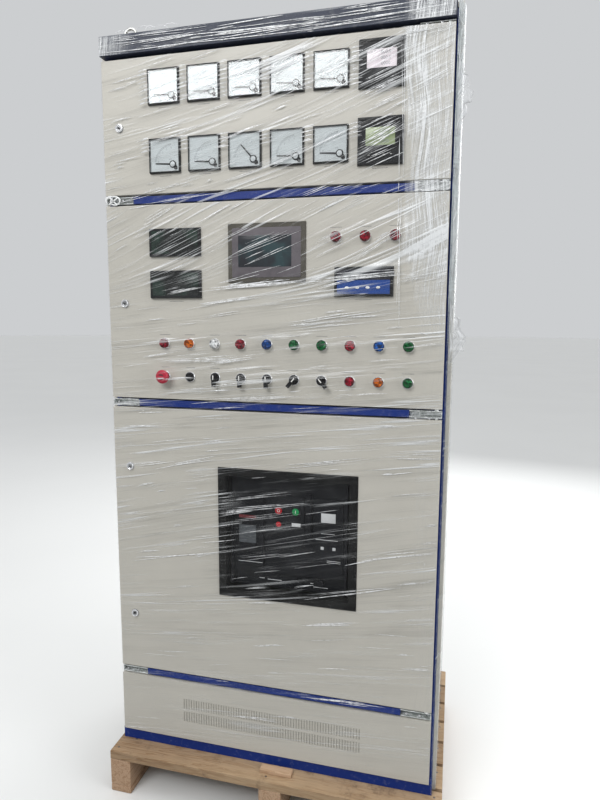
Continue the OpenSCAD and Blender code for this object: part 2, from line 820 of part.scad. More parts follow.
// A cam lock: its head with a key socket, its barrel and its tongue, turned down
module cam_lock(z) {
    bevel = 1.5;
    bit_w = 3;
    tongue_y = door_depth + sheet_t;
    translate([door_x0 + lock_inset, 0, z]) {
        difference() {
            union() {
                bar_y(lock_head_d - 2 * bevel, -lock_head_h, 0);
                bar_y(lock_head_d, -lock_head_h + bevel, 0);
            }
            bar_y(lock_socket_d, -lock_head_h - over, -bevel);
        }
        plate(bit_w, lock_socket_d, -lock_head_h + bevel, -bevel);
        bar_y(lock_barrel_d, 0, tongue_y);
        block(-lock_tongue_w / 2, lock_tongue_w / 2, tongue_y, tongue_y + sheet_t,
              -lock_tongue_l, lock_barrel_d / 2);
    }
}

module lock_hole(z) {
    translate([door_x0 + lock_inset, 0, z])
        bar_y(lock_barrel_d + 2 * lock_clearance, -over, sheet_t + over);
}

// Places children at each pointer meter
module at_meters() {
    for (z = [upper_z1 - upper_meter_row_drop, upper_z0 + lower_meter_row_z])
        for (i = [0:meter_count - 1])
            translate([meter_first_x + i * meter_pitch, 0, z]) children();
}

module at_power_meters() {
    for (z = [upper_z1 - power_meter_drop, upper_z0 + lower_meter_row_z])
        translate([power_meter_x, 0, z]) children();
}

module upper_door() {
    color(GREY) in_cabinet() door(upper_z0, upper_z1) {
        lock_hole((upper_z0 + upper_z1) / 2);
        at_meters() cutout(meter_size, meter_size, meter_overlap);
        at_power_meters() cutout(power_meter_size, power_meter_size, power_meter_overlap);
    }
}

module upper_door_lock() {
    color(ZINC) in_cabinet() cam_lock((upper_z0 + upper_z1) / 2);
}

// The hole in a door for an instrument whose bezel overlaps it
module cutout(w, h, overlap) {
    reach = 2 * (overlap - cutout_gap);
    plate(w - reach, h - reach, -over, sheet_t + over);
}

// A plate whose four edges slope inwards from the door's face to its front
module sloped_plate(w, h, proud, slope) {
    intersection() {
        translate([0, 0, -h / 2]) linear_extrude(h)
            polygon([[-w / 2, 0], [w / 2, 0], [w / 2 - slope, -proud], [slope - w / 2, -proud]]);
        translate([-w / 2, 0, 0]) rotate([0, 90, 0]) linear_extrude(w)
            polygon([[-h / 2, 0], [h / 2, 0], [h / 2 - slope, -proud], [slope - h / 2, -proud]]);
    }
}

// A flush instrument: a sloped bezel round a recess, and the case behind the door
module instrument(w, h, rim, proud, recess, overlap, case_depth) {
    difference() {
        union() {
            sloped_plate(w, h, proud, bezel_slope);
            plate(w - 2 * overlap, h - 2 * overlap, 0, case_depth);
        }
        plate(w - 2 * rim, h - 2 * rim, -proud - over, -proud + recess);
    }
}

// A row of keys that stand on an instrument's face
module key_row(count, pitch, w, h, y) {
    for (i = [0:count - 1])
        translate([(i - (count - 1) / 2) * pitch, 0, 0]) plate(w, h, y - key_proud, y);
}

module pointer_meters() {
    color(BLACK) in_cabinet() at_meters()
        instrument(meter_size, meter_size, meter_rim, meter_proud, dial_recess + dial_t,
                   meter_overlap, meter_case_depth);
}

module meter_dials() {
    edge = meter_size - 2 * meter_rim - 2 * dial_gap;
    color("white") in_cabinet() at_meters()
        plate(edge, edge, -meter_proud + dial_recess, -meter_proud + dial_recess + dial_t);
}

module power_meters() {
    face_y = -meter_proud + face_recess;
    color(BLACK) in_cabinet() at_power_meters() {
        difference() {
            instrument(power_meter_size, power_meter_size, power_meter_rim, meter_proud, face_recess,
                       power_meter_overlap, power_meter_depth);
            translate([0, 0, power_display_z])
                plate(power_display_w, power_display_h, face_y - over, face_y + face_recess);
        }
        translate([0, 0, power_display_z - power_display_h])
            key_row(power_key_count, power_display_w / power_key_count,
                    power_display_w / power_key_count - key_gap, key_gap * 2, face_y);
    }
}

// Places children at each lamp or switch of one kind
module at_devices(kind) {
    for (i = [0:9]) {
        if (LAMP_ROW[i] == kind)
            translate([lamp_first_x + i * lamp_pitch, 0, middle_z0 + lamp_row_z]) children();
        if (SWITCH_ROW[i] == kind)
            translate([lamp_first_x + i * lamp_pitch, 0, middle_z0 + switch_row_z]) children();
    }
    if (kind == "red") for (i = [0:2])
        translate([trio_first_x + i * lamp_pitch, 0, middle_z0 + trio_z]) children();
}

module at_all_devices() {
    for (kind = ["red", "orange", "white", "blue", "green", "stop", "push", "select"])
        at_devices(kind) children();
}

module at_indicators() {
    for (z = [upper_indicator_z, lower_indicator_z])
        translate([indicator_x, 0, middle_z0 + z]) children();
}

module at_screen() {
    translate([screen_x, 0, middle_z0 + screen_z]) children();
}

module at_controller() {
    translate([controller_x, 0, middle_z0 + controller_z]) children();
}

module middle_door() {
    color(GREY) in_cabinet() door(middle_z0, middle_z1) {
        lock_hole((middle_z0 + middle_z1) / 2);
        at_all_devices() bar_y(device_hole_d, -over, sheet_t + over);
        at_indicators() cutout(indicator_w, indicator_h, indicator_overlap);
        at_controller() cutout(indicator_w, indicator_h, indicator_overlap);
        at_screen() cutout(screen_w, screen_h, screen_overlap);
    }
}

module middle_door_lock() {
    color(ZINC) in_cabinet() cam_lock((middle_z0 + middle_z1) / 2);
}

// The bezel and case of a long instrument
module long_instrument() {
    instrument(indicator_w, indicator_h, indicator_rim, meter_proud, face_recess,
               indicator_overlap, indicator_depth);
}

module digital_indicators() {
    color(BLACK) in_cabinet() at_indicators() long_instrument();
}

module touch_screen() {
    color([0.55, 0.56, 0.58]) in_cabinet() at_screen()
        instrument(screen_w, screen_h, screen_rim, screen_proud, face_recess, screen_overlap, screen_depth);
}

// A window that lies in an instrument's recess
module window(w, h, rim, proud) {
    edge = 2 * (rim + dial_gap);
    plate(w - edge, h - edge, -proud + dial_gap, -proud + face_recess);
}

module display_windows() {
    color([0.1, 0.12, 0.12]) in_cabinet() {
        at_indicators() window(indicator_w, indicator_h, indicator_rim, meter_proud);
        at_screen() window(screen_w, screen_h, screen_rim, screen_proud);
    }
}

module speed_controller() {
    color(BLACK) in_cabinet() at_controller() {
        long_instrument();
        translate([0, 0, -controller_key_drop])
            key_row(controller_key_count, controller_key_pitch, controller_key_pitch - 2 * key_gap,
                    key_gap * 3, -meter_proud + face_recess);
    }
}

// A lamp's domed lens on its collar
module lens() {
    r = lens_d / 2;
    rotate([90, 0, 0]) translate([0, 0, collar_h]) rotate_extrude()
        polygon([[0, 0], [r, 0], [r, 0.6 * lens_h], [0.92 * r, 0.8 * lens_h],
                 [0.7 * r, 0.93 * lens_h], [0, lens_h]]);
}

module lamps(kind, shade) {
    color(shade) in_cabinet() at_devices(kind) lens();
}

module red_lamps() { lamps("red", [0.75, 0.1, 0.12]); }
module orange_lamps() { lamps("orange", [0.9, 0.5, 0.1]); }
module white_lamp() { lamps("white", [0.9, 0.9, 0.9]); }
module blue_lamps() { lamps("blue", [0.1, 0.4, 0.75]); }
module green_lamps() { lamps("green", [0.1, 0.55, 0.25]); }

// A collar before the door, a barrel through it and a nut behind it
module device_bodies() {
    barrel_d = device_hole_d - 2 * lock_clearance;
    color(BLACK) in_cabinet() at_all_devices() {
        bar_y(collar_d, -collar_h, 0);
        bar_y(barrel_d, 0, device_depth);
        bar_y(collar_d, sheet_t, sheet_t + device_nut_t);
    }
}

module emergency_stop() {
    r = stop_d / 2;
    stem = 0.55 * r;
    color([0.75, 0.08, 0.1]) in_cabinet() at_devices("stop") rotate([90, 0, 0]) translate([0, 0, collar_h])
        rotate_extrude() polygon([[0, 0], [stem, 0], [stem, 0.43 * stop_h], [0.9 * r, 0.5 * stop_h],
                                  [r, 0.6 * stop_h], [r, 0.78 * stop_h], [0.8 * r, 0.93 * stop_h],
                                  [0, stop_h]]);
}

module push_button() {
    color(BLACK) in_cabinet() at_devices("push") bar_y(knob_d, -collar_h - plunger_h, -collar_h);
}

// A turned head with a lever across it
module selector_switches() {
    head_y = -collar_h - plunger_h;
    color(BLACK) in_cabinet() for (i = [0:4])
        translate([lamp_first_x + (i + 2) * lamp_pitch, 0, middle_z0 + switch_row_z])
            rotate([0, SELECTOR_TURN[i], 0]) {
                bar_y(knob_d, head_y, -collar_h);
                block(-lever_w / 2, lever_w / 2, head_y - lever_h, head_y,
                      -lever_l, knob_d / 2 - key_proud);
            }
}

module lower_door() {
    color(GREY) in_cabinet() door(lower_z0, lower_z1) {
        for (side = [-1, 1]) lock_hole((lower_z0 + lower_z1) / 2 + side * lower_lock_offset);
        translate([breaker_x, 0, breaker_cz])
            cutout(surround_w, surround_h, surround_overlap);
    }
}

module lower_door_locks() {
    color(ZINC) in_cabinet() for (side = [-1, 1])
        cam_lock((lower_z0 + lower_z1) / 2 + side * lower_lock_offset);
}

module breaker_surround() {
    collar = 2 * surround_overlap;
    color(BLACK) in_cabinet() translate([breaker_x, 0, breaker_cz]) difference() {
        union() {
            sloped_plate(surround_w, surround_h, surround_proud, bezel_slope);
            plate(surround_w - collar, surround_h - collar, 0, door_depth);
        }
        plate(surround_w - 2 * surround_rim, surround_h - 2 * surround_rim,
              -surround_proud - over, door_depth + over);
    }
}

base_frame();
front_posts();
rear_posts();
top_frame();
crossbeams();
hinge_brackets();
left_side_panel();
right_side_panel();
rear_cover();
roof_panel();
header();
lifting_eyes();
vent_panel();
side_rails();
breaker_rails();
breaker_body();
breaker_front();
pallet_deck();
pallet_bearers();
pallet_skids();
stop_block();
upper_door();
upper_door_lock();
pointer_meters();
meter_dials();
power_meters();
middle_door();
middle_door_lock();
digital_indicators();
touch_screen();
display_windows();
speed_controller();
red_lamps();
orange_lamps();
white_lamp();
blue_lamps();
green_lamps();
device_bodies();
emergency_stop();
push_button();
selector_switches();
lower_door();
lower_door_locks();
breaker_surround();
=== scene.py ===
"""Scene of the wrapped hydropower control cabinet: finishes, small parts, film and studio.

Lengths are metres in the part's own frame: +Z up, the doors face -Y. Small parts are
written in millimetres and scaled by MM where they are made.
"""

from __future__ import annotations

import logging
import math
import random
from dataclasses import dataclass, field
from enum import Enum
from typing import Callable, Iterable, Sequence

import bmesh
import bpy
import numpy as np
from mathutils import Matrix, Vector


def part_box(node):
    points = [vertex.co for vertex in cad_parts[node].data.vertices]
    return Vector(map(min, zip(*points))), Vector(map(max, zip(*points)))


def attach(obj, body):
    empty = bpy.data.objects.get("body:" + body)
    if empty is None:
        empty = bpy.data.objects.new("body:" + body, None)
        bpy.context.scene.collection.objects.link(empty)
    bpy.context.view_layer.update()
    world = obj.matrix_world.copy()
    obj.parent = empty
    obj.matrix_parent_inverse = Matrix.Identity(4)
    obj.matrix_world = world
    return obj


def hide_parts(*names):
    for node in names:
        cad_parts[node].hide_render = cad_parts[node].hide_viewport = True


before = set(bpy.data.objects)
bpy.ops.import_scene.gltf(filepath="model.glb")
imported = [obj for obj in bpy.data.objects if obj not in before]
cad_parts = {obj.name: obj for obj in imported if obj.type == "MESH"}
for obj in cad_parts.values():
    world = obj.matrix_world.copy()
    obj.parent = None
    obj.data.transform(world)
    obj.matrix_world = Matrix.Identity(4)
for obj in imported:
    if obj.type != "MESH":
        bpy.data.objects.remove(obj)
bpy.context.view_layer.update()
MM = 0.001
LOG = logging.getLogger("scene")
FRONT = Vector((0, -1, 0))
UPWARDS = Matrix.Rotation(-math.pi / 2, 4, "X")
moved = Matrix.Translation
Colour = tuple[float, float, float, float]
Pair = tuple[float, float]
Thing = bpy.types.Object
Socket = bpy.types.NodeSocket
Mesh = bmesh.types.BMesh
Table = np.ndarray
Field = Callable[[Table, Table], Table]
Lay = Callable[[Table, Table, Table], Table]


class Body(str, Enum):
    """The bodies that pieces ride on."""

    CABINET = "cabinet"
    UPPER = "upper_door"
    MIDDLE = "middle_door"
    LOWER = "lower_door"


class Grain(Enum):
    """The axis that a board's grain runs along."""

    ALONG_X = 0
    ALONG_Y = 1


def screen(*channels: int) -> Colour:
    """Turn a colour written as on a screen into the linear values that shaders take.

    Args:
        channels: Red, green and blue, 0 to 255.

    Returns:
        The linear colour with full alpha.
    """
    shares = [channel / 255 for channel in channels]
    return tuple(share / 12.92 if share <= 0.04045 else ((share + 0.055) / 1.055) ** 2.4
                 for share in shares) + (1.0,)


def scaled(colour: Colour, factors: Sequence[float], extra: float = 0.0) -> Colour:
    """Return a colour with each channel scaled by its factor, and extra light added."""
    return tuple(min(1.0, channel * factor + extra)
                 for channel, factor in zip(colour, factors)) + (1.0,)


@dataclass(frozen=True)
class Box:
    """The box of one solid, from its lowest corner to its highest."""

    lo: Vector
    hi: Vector

    @property
    def centre(self) -> Vector:
        """Return the box's middle."""
        return (self.lo + self.hi) / 2

    @property
    def size(self) -> Vector:
        """Return the box's extent along each axis."""
        return self.hi - self.lo

    @property
    def face(self) -> Vector:
        """Return the middle of the box's front."""
        return Vector((self.centre.x, self.lo.y, self.centre.z))


def node_box(node: str) -> Box:
    """Return the box of a CAD node."""
    return Box(*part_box(node))


def solids(node: str) -> list[Box]:
    """Find the separate solids of a CAD node.

    Args:
        node: The node's name.

    Returns:
        One box a solid, from the top row down and from left to right.
    """
    mesh = bmesh.new()
    mesh.from_mesh(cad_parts[node].data)
    bmesh.ops.remove_doubles(mesh, verts=mesh.verts, dist=1e-6)
    seen: set[bmesh.types.BMVert] = set()
    found = []
    for start in mesh.verts:
        if start in seen:
            continue
        seen.add(start)
        stack, points = [start], []
        while stack:
            vert = stack.pop()
            points.append(vert.co.copy())
            joined = {edge.other_vert(vert) for edge in vert.link_edges} - seen
            seen |= joined
            stack.extend(joined)
        table = np.array(points)
        found.append(Box(Vector(table.min(0)), Vector(table.max(0))))
    mesh.free()
    return sorted(found, key=lambda box: (-round(box.centre.z, 2), box.centre.x))


def shown(name: str, data: bpy.types.ID) -> Thing:
    """Put a new object in the scene.

    Args:
        name: Its name.
        data: The mesh, light or camera that it shows.

    Returns:
        The object.
    """
    made = bpy.data.objects.new(name, data)
    bpy.context.scene.collection.objects.link(made)
    return made


DOOR_FACE = node_box("lower_door").lo.y
FOOT = node_box("base_frame").lo.z
LOW_ROW = FOOT + 1260 * MM
SELECTOR_ROW = 1350 * MM


class Graph:
    """A node tree in the making, with short calls for what the finishes share."""

    def __init__(self, tree: bpy.types.NodeTree) -> None:
        """Take the tree that the nodes go into."""
        self.tree = tree

    @classmethod
    def of(cls, owner: bpy.types.Material | bpy.types.World) -> "Graph":
        """Empty the graph of a material or world.

        Args:
            owner: The material or world.

        Returns:
            Its graph.
        """
        owner.use_nodes = True
        owner.node_tree.nodes.clear()
        return cls(owner.node_tree)

    def put(self, socket: Socket, value: object) -> None:
        """Link value to the socket if it is one, or else store it there."""
        if isinstance(value, bpy.types.NodeSocket):
            self.tree.links.new(value, socket)
        else:
            socket.default_value = value

    def node(self, kind: str, *values: object, **named: object) -> bpy.types.Node:
        """Add a node.

        Args:
            kind: Its type.
            values: What its first sockets get, in order.
            named: Settings, and sockets by their capitalised names with low lines for spaces.

        Returns:
            The node.
        """
        made = self.tree.nodes.new(kind)
        for key, value in named.items():
            if key[0].isupper():
                self.put(made.inputs[key.replace("_", " ")], value)
            else:
                setattr(made, key, value)
        for socket, value in zip(made.inputs, values):
            self.put(socket, value)
        return made

    def show(self, shader: bpy.types.Node, output: str = "ShaderNodeOutputMaterial") -> None:
        """Link a shader to a new output."""
        self.node(output, shader.outputs[0])

    def surface(self, **sockets: object) -> None:
        """Make the material's surface, with these values or sockets."""
        self.show(self.node("ShaderNodeBsdfPrincipled", **sockets))

    def place(self, scale: Sequence[float] = (1, 1, 1), turn: Sequence[float] = (0, 0, 0),
              layer: str = "") -> Socket:
        """Give the coordinates that a pattern reads.

        Args:
            scale: Scale along each axis.
            turn: Turn about each axis, in radians.
            layer: Name of a UV map, or empty for Object coordinates.

        Returns:
            The coordinates' socket.
        """
        if layer:
            source = self.node("ShaderNodeUVMap", uv_map=layer).outputs["UV"]
        else:
            source = self.node("ShaderNodeTexCoord").outputs["Object"]
        return self.node("ShaderNodeMapping", source, Scale=scale, Rotation=turn).outputs[0]

    def noise(self, where: Socket, scale: float, detail: float = 2.0, rough: float = 0.5,
              bend: float = 0.0, seed: object = 0.0) -> Socket:
        """Give a noise pattern.

        Args:
            where: Coordinates.
            scale: Features a metre.
            detail: Octaves.
            rough: Weight of the fine octaves.
            bend: Distortion.
            seed: Place along the fourth axis, a number or a socket.

        Returns:
            The pattern's value socket, 0 to 1.
        """
        made = self.node("ShaderNodeTexNoise", noise_dimensions="4D", Vector=where, W=seed,
                         Scale=scale, Detail=detail, Roughness=rough, Distortion=bend)
        return made.outputs["Fac"]

    def math(self, operation: str, *values: object) -> Socket:
        """Return the result of a Math node on these values."""
        return self.node("ShaderNodeMath", *values, operation=operation).outputs[0]

    def times(self, first: object, second: object) -> Socket:
        """Return the product of two values."""
        return self.math("MULTIPLY", first, second)

    def span(self, value: Socket, low: float, high: float, start: float = 0.0,
             end: float = 1.0) -> Socket:
        """Return a value with low to high mapped onto start to end, smoothly and clamped."""
        made = self.node("ShaderNodeMapRange", value, low, high, start, end,
                         interpolation_type="SMOOTHSTEP")
        return made.outputs[0]

    def mix(self, share: object, first: object, second: object) -> Socket:
        """Mix two colours.

        Args:
            share: Share of the second, from 0 to 1.
            first, second: The colours.

        Returns:
            The mixed colour.
        """
        made = self.node("ShaderNodeMix", share, data_type="RGBA")
        self.put(made.inputs[6], first)
        self.put(made.inputs[7], second)
        return made.outputs[2]

    def shaded(self, colour: Colour, pattern: Socket, depth: float) -> Socket:
        """Return a colour that a pattern makes darker and lighter by depth, a share of it."""
        return self.mix(self.span(pattern, 0.3, 0.7), scaled(colour, (1 - depth,) * 3),
                        scaled(colour, (1 + depth,) * 3))

    def bump(self, height: Socket, depth: float, strength: float = 1.0) -> Socket:
        """Return the normal of a surface with a pattern of that depth in metres."""
        made = self.node("ShaderNodeBump", Strength=strength, Distance=depth, Height=height)
        return made.outputs["Normal"]

    def seen(self) -> Socket:
        """Tell rays of the view from those of the light.

        Returns:
            1 for rays of the view, also mirrored or through film, and 0 for the light.
        """
        rays = self.node("ShaderNodeLightPath").outputs
        direct = self.math("MAXIMUM", rays["Is Camera Ray"], rays["Is Glossy Ray"])
        return self.math("MAXIMUM", direct, rays["Is Transmission Ray"])


@dataclass(frozen=True)
class Finish:
    """A surface finish, with its material's name and its main colour."""

    name: str
    colour: Colour

    def paint(self, graph: Graph) -> None:
        """Build the finish's nodes in the graph."""
        raise NotImplementedError

    def material(self) -> bpy.types.Material:
        """Make the material on its first use.

        Returns:
            The finish's material.
        """
        made = bpy.data.materials.get(self.name)
        if not made:
            made = bpy.data.materials.new(self.name)
            self.paint(Graph.of(made))
        return made


@dataclass(frozen=True)
class PowderCoat(Finish):
    """Powder coat on sheet steel: a fine orange peel, cloudiness and a little dust.

    Attributes:
        cloud: Share by which the colour varies.
        peel: Depth of the orange peel.
        gloss: Strength of the mirrored light.
    """

    roughness: float = 0.42
    cloud: float = 0.035
    peel: float = 0.00006
    gloss: float = 0.45

    def paint(self, graph: Graph) -> None:
        """Build the coat.

        Args:
            graph: The material's graph.
        """
        place = graph.place()
        clouds = graph.noise(place, 3.5, 4.0, 0.6)
        dust = graph.times(graph.span(graph.noise(place, 55.0, 3.0, 0.7), 0.52, 0.75), 0.10)
        coat = graph.shaded(self.colour, clouds, self.cloud)
        rough = graph.span(clouds, 0.3, 0.7, self.roughness - 0.07, self.roughness + 0.07)
        graph.surface(Base_Color=graph.mix(dust, coat, screen(206, 204, 196)), Roughness=rough,
                      Normal=graph.bump(graph.noise(place, 620.0), self.peel),
                      Specular_IOR_Level=self.gloss)


@dataclass(frozen=True)
class Metal(Finish):
    """Plated or bare metal.

    Attributes:
        mottle: Colour of the mottled spots.
        mottling: Share of the mottled colour.
        scale: Mottled features a metre.
        bare: Share of the light that it takes as metal.
    """

    roughness: float
    mottle: Colour
    mottling: float
    scale: float
    bare: float = 1.0

    def paint(self, graph: Graph) -> None:
        """Build the metal.

        Args:
            graph: The material's graph.
        """
        place = graph.place()
        spots = graph.span(graph.noise(place, self.scale, 3.0, 0.65, 0.6), 0.42, 0.62)
        base = graph.mix(graph.times(spots, self.mottling), self.colour, self.mottle)
        rough = graph.span(spots, 0.0, 1.0, self.roughness - 0.06, self.roughness + 0.1)
        graph.surface(Base_Color=base, Metallic=self.bare, Roughness=rough,
                      Normal=graph.bump(graph.noise(place, 900.0), 0.00004))


@dataclass(frozen=True)
class Plastic(Finish):
    """Moulded plastic with a fine spark-eroded grain and slight scuffs.

    Attributes:
        grain: Depth of the grain.
        coat: Weight of a clear gloss.
    """

    roughness: float
    grain: float = 0.00005
    coat: float = 0.0

    def paint(self, graph: Graph) -> None:
        """Build the plastic.

        Args:
            graph: The material's graph.
        """
        place = graph.place()
        scuff = graph.noise(place, 30.0, 4.0, 0.7)
        rough = graph.span(scuff, 0.35, 0.65, self.roughness - 0.06, self.roughness + 0.1)
        graph.surface(Base_Color=graph.shaded(self.colour, scuff, 0.12), Roughness=rough,
                      Normal=graph.bump(graph.noise(place, 1500.0, 1.0), self.grain),
                      Coat_Weight=self.coat, Coat_Roughness=0.08, Specular_IOR_Level=0.12)


@dataclass(frozen=True)
class Print(Finish):
    """Ink on a smooth ground, uneven by its share of wear."""

    roughness: float = 0.4
    wear: float = 0.1

    def paint(self, graph: Graph) -> None:
        """Build the ink.

        Args:
            graph: The material's graph.
        """
        uneven = graph.noise(graph.place(), 260.0, 3.0, 0.6)
        rough = graph.span(uneven, 0.3, 0.7, self.roughness - 0.05, self.roughness + 0.08)
        graph.surface(Base_Color=graph.shaded(self.colour, uneven, self.wear), Roughness=rough)


@dataclass(frozen=True)
class DialCard(Finish):
    """White printed card."""

    def paint(self, graph: Graph) -> None:
        """Build the card.

        Args:
            graph: The material's graph.
        """
        place = graph.place()
        base = graph.shaded(self.colour, graph.noise(place, 14.0), 0.03)
        graph.surface(Base_Color=base, Roughness=0.5,
                      Normal=graph.bump(graph.noise(place, 900.0), 0.00001))


@dataclass(frozen=True)
class ClearPane(Finish):
    """Thin clear plastic over a dial: see-through, with a gloss that grows to its edge."""

    def paint(self, graph: Graph) -> None:
        """Build the pane.

        Args:
            graph: The material's graph.
        """
        wave = graph.noise(graph.place(), 18.0, 1.0)
        gloss = graph.node("ShaderNodeBsdfGlossy", Normal=graph.bump(wave, 0.0004),
                           Roughness=graph.span(wave, 0.3, 0.7, 0.03, 0.09))
        clear = graph.node("ShaderNodeBsdfTransparent", Color=self.colour)
        fresnel = graph.node("ShaderNodeFresnel", IOR=1.36)
        graph.show(graph.node("ShaderNodeMixShader", fresnel.outputs[0], clear.outputs[0],
                              gloss.outputs[0]))


@dataclass(frozen=True)
class SmokedWindow(Finish):
    """Dark glossy window with a faint lighter tint that drifts over it."""

    tint: Colour
    roughness: float = 0.12

    def paint(self, graph: Graph) -> None:
        """Build the window.

        Args:
            graph: The material's graph.
        """
        drift = graph.span(graph.noise(graph.place(), 16.0, 2.0, 0.5, 0.4), 0.42, 0.68)
        smear = graph.noise(graph.place((25, 25, 140), (0, 0.35, 0)), 1.0, 3.0)
        rough = graph.span(smear, 0.4, 0.7, self.roughness, self.roughness + 0.16)
        graph.surface(Base_Color=graph.mix(drift, self.colour, self.tint), Roughness=rough,
                      Specular_IOR_Level=0.4)


@dataclass(frozen=True)
class PaintedGlowDisplay(Finish):
    """Backlit liquid crystal, a little uneven, with a painted glow of its own."""

    painted_glow: float = 0.12

    def paint(self, graph: Graph) -> None:
        """Build the display.

        Args:
            graph: The material's graph.
        """
        base = graph.shaded(self.colour, graph.noise(graph.place(), 30.0), 0.10)
        # Painted glow: the display emits a share of its own colour.
        graph.surface(Base_Color=base, Roughness=0.22, Emission_Strength=self.painted_glow,
                      Emission_Color=base)


@dataclass(frozen=True)
class LampLens(Finish):
    """Tinted translucent lens: painted shade deepens its rim, it is lighter where it faces the
    viewer, and some facets carry painted glints.
    """

    def paint(self, graph: Graph) -> None:
        """Build the lens.

        Args:
            graph: The material's graph.
        """
        # deep is the rim's painted shade, and pale is the colour of the painted glints.
        deep, pale = scaled(self.colour, (0.25,) * 3), scaled(self.colour, (1.6,) * 3, 0.01)
        facets = graph.node("ShaderNodeTexVoronoi", feature="F1", Vector=graph.place(),
                            Scale=190.0)
        parts = graph.node("ShaderNodeSeparateColor", facets.outputs["Color"]).outputs
        toned = graph.mix(graph.span(parts[0], 0.15, 0.95), deep, self.colour)
        # Painted glints: the brightest facets turn pale.
        painted_light = graph.mix(graph.span(parts[1], 0.78, 0.95), toned, pale)
        # Painted shade: the rim, turned away from the viewer, goes deep.
        facing = graph.node("ShaderNodeLayerWeight", Blend=0.35).outputs["Facing"]
        graph.surface(Base_Color=graph.mix(facing, painted_light, deep), Roughness=0.24,
                      Specular_IOR_Level=0.15,
                      Normal=graph.bump(facets.outputs["Distance"], 0.0004, 0.7))


@dataclass(frozen=True)
class SawnPine(Finish):
    """Rough-sawn pine boards, each with its own grain, knots and stains.

    Attributes:
        grain: Axis that the boards run along.
        pitch: Distance from one board to the next.
        start: Place of the first board's edge.
    """

    grain: Grain = Grain.ALONG_X
    pitch: float = 0.106
    start: float = 0.0

    def paint(self, graph: Graph) -> None:
        """Build the wood.

        Args:
            graph: The material's graph.
        """
        level = self.grain is Grain.ALONG_X

        def stretched(along: float, across: float) -> Socket:
            """Return coordinates with one scale along the grain and one across it."""
            return graph.place((along, across, across) if level else (across, along, across))

        across = graph.node("ShaderNodeSeparateXYZ", graph.place()).outputs["Y" if level else "X"]
        row = graph.math("DIVIDE", graph.math("SUBTRACT", across, self.start), self.pitch)
        board = graph.times(graph.math("FLOOR", row), 5.37)
        rings = graph.noise(stretched(1.6, 22), 1.0, 4.0, 0.6, 0.8, board)
        fibre = graph.noise(stretched(14, 420), 1.0, 3.0, 0.65, 0.2, board)
        late = graph.span(graph.math("FRACT", graph.times(rings, 9.0)), 0.55, 0.98)
        wood = graph.mix(graph.times(late, 0.72), graph.shaded(self.colour, fibre, 0.2),
                         scaled(self.colour, (0.62, 0.50, 0.38)))
        whole = graph.noise(graph.place(), 1.0, 1.0, 0.5, 0.0, board)
        wood = graph.mix(graph.span(whole, 0.35, 0.65, 0.0, 0.4), wood, screen(206, 180, 146))
        knots = graph.node("ShaderNodeTexVoronoi", voronoi_dimensions="4D", feature="F1",
                           Vector=stretched(3.2, 9), W=board, Scale=1.0).outputs["Distance"]
        wood = graph.mix(graph.span(knots, 0.07, 0.15, 0.85, 0.0), wood, screen(96, 66, 44))
        stain = graph.span(graph.noise(graph.place(), 9.0, 5.0, 0.75), 0.52, 0.66, 0.0, 0.65)
        graph.surface(Base_Color=graph.mix(stain, wood, screen(112, 92, 74)),
                      Roughness=graph.span(fibre, 0.3, 0.7, 0.62, 0.85),
                      Specular_IOR_Level=0.25, Normal=graph.bump(fibre, 0.0009, 0.8))


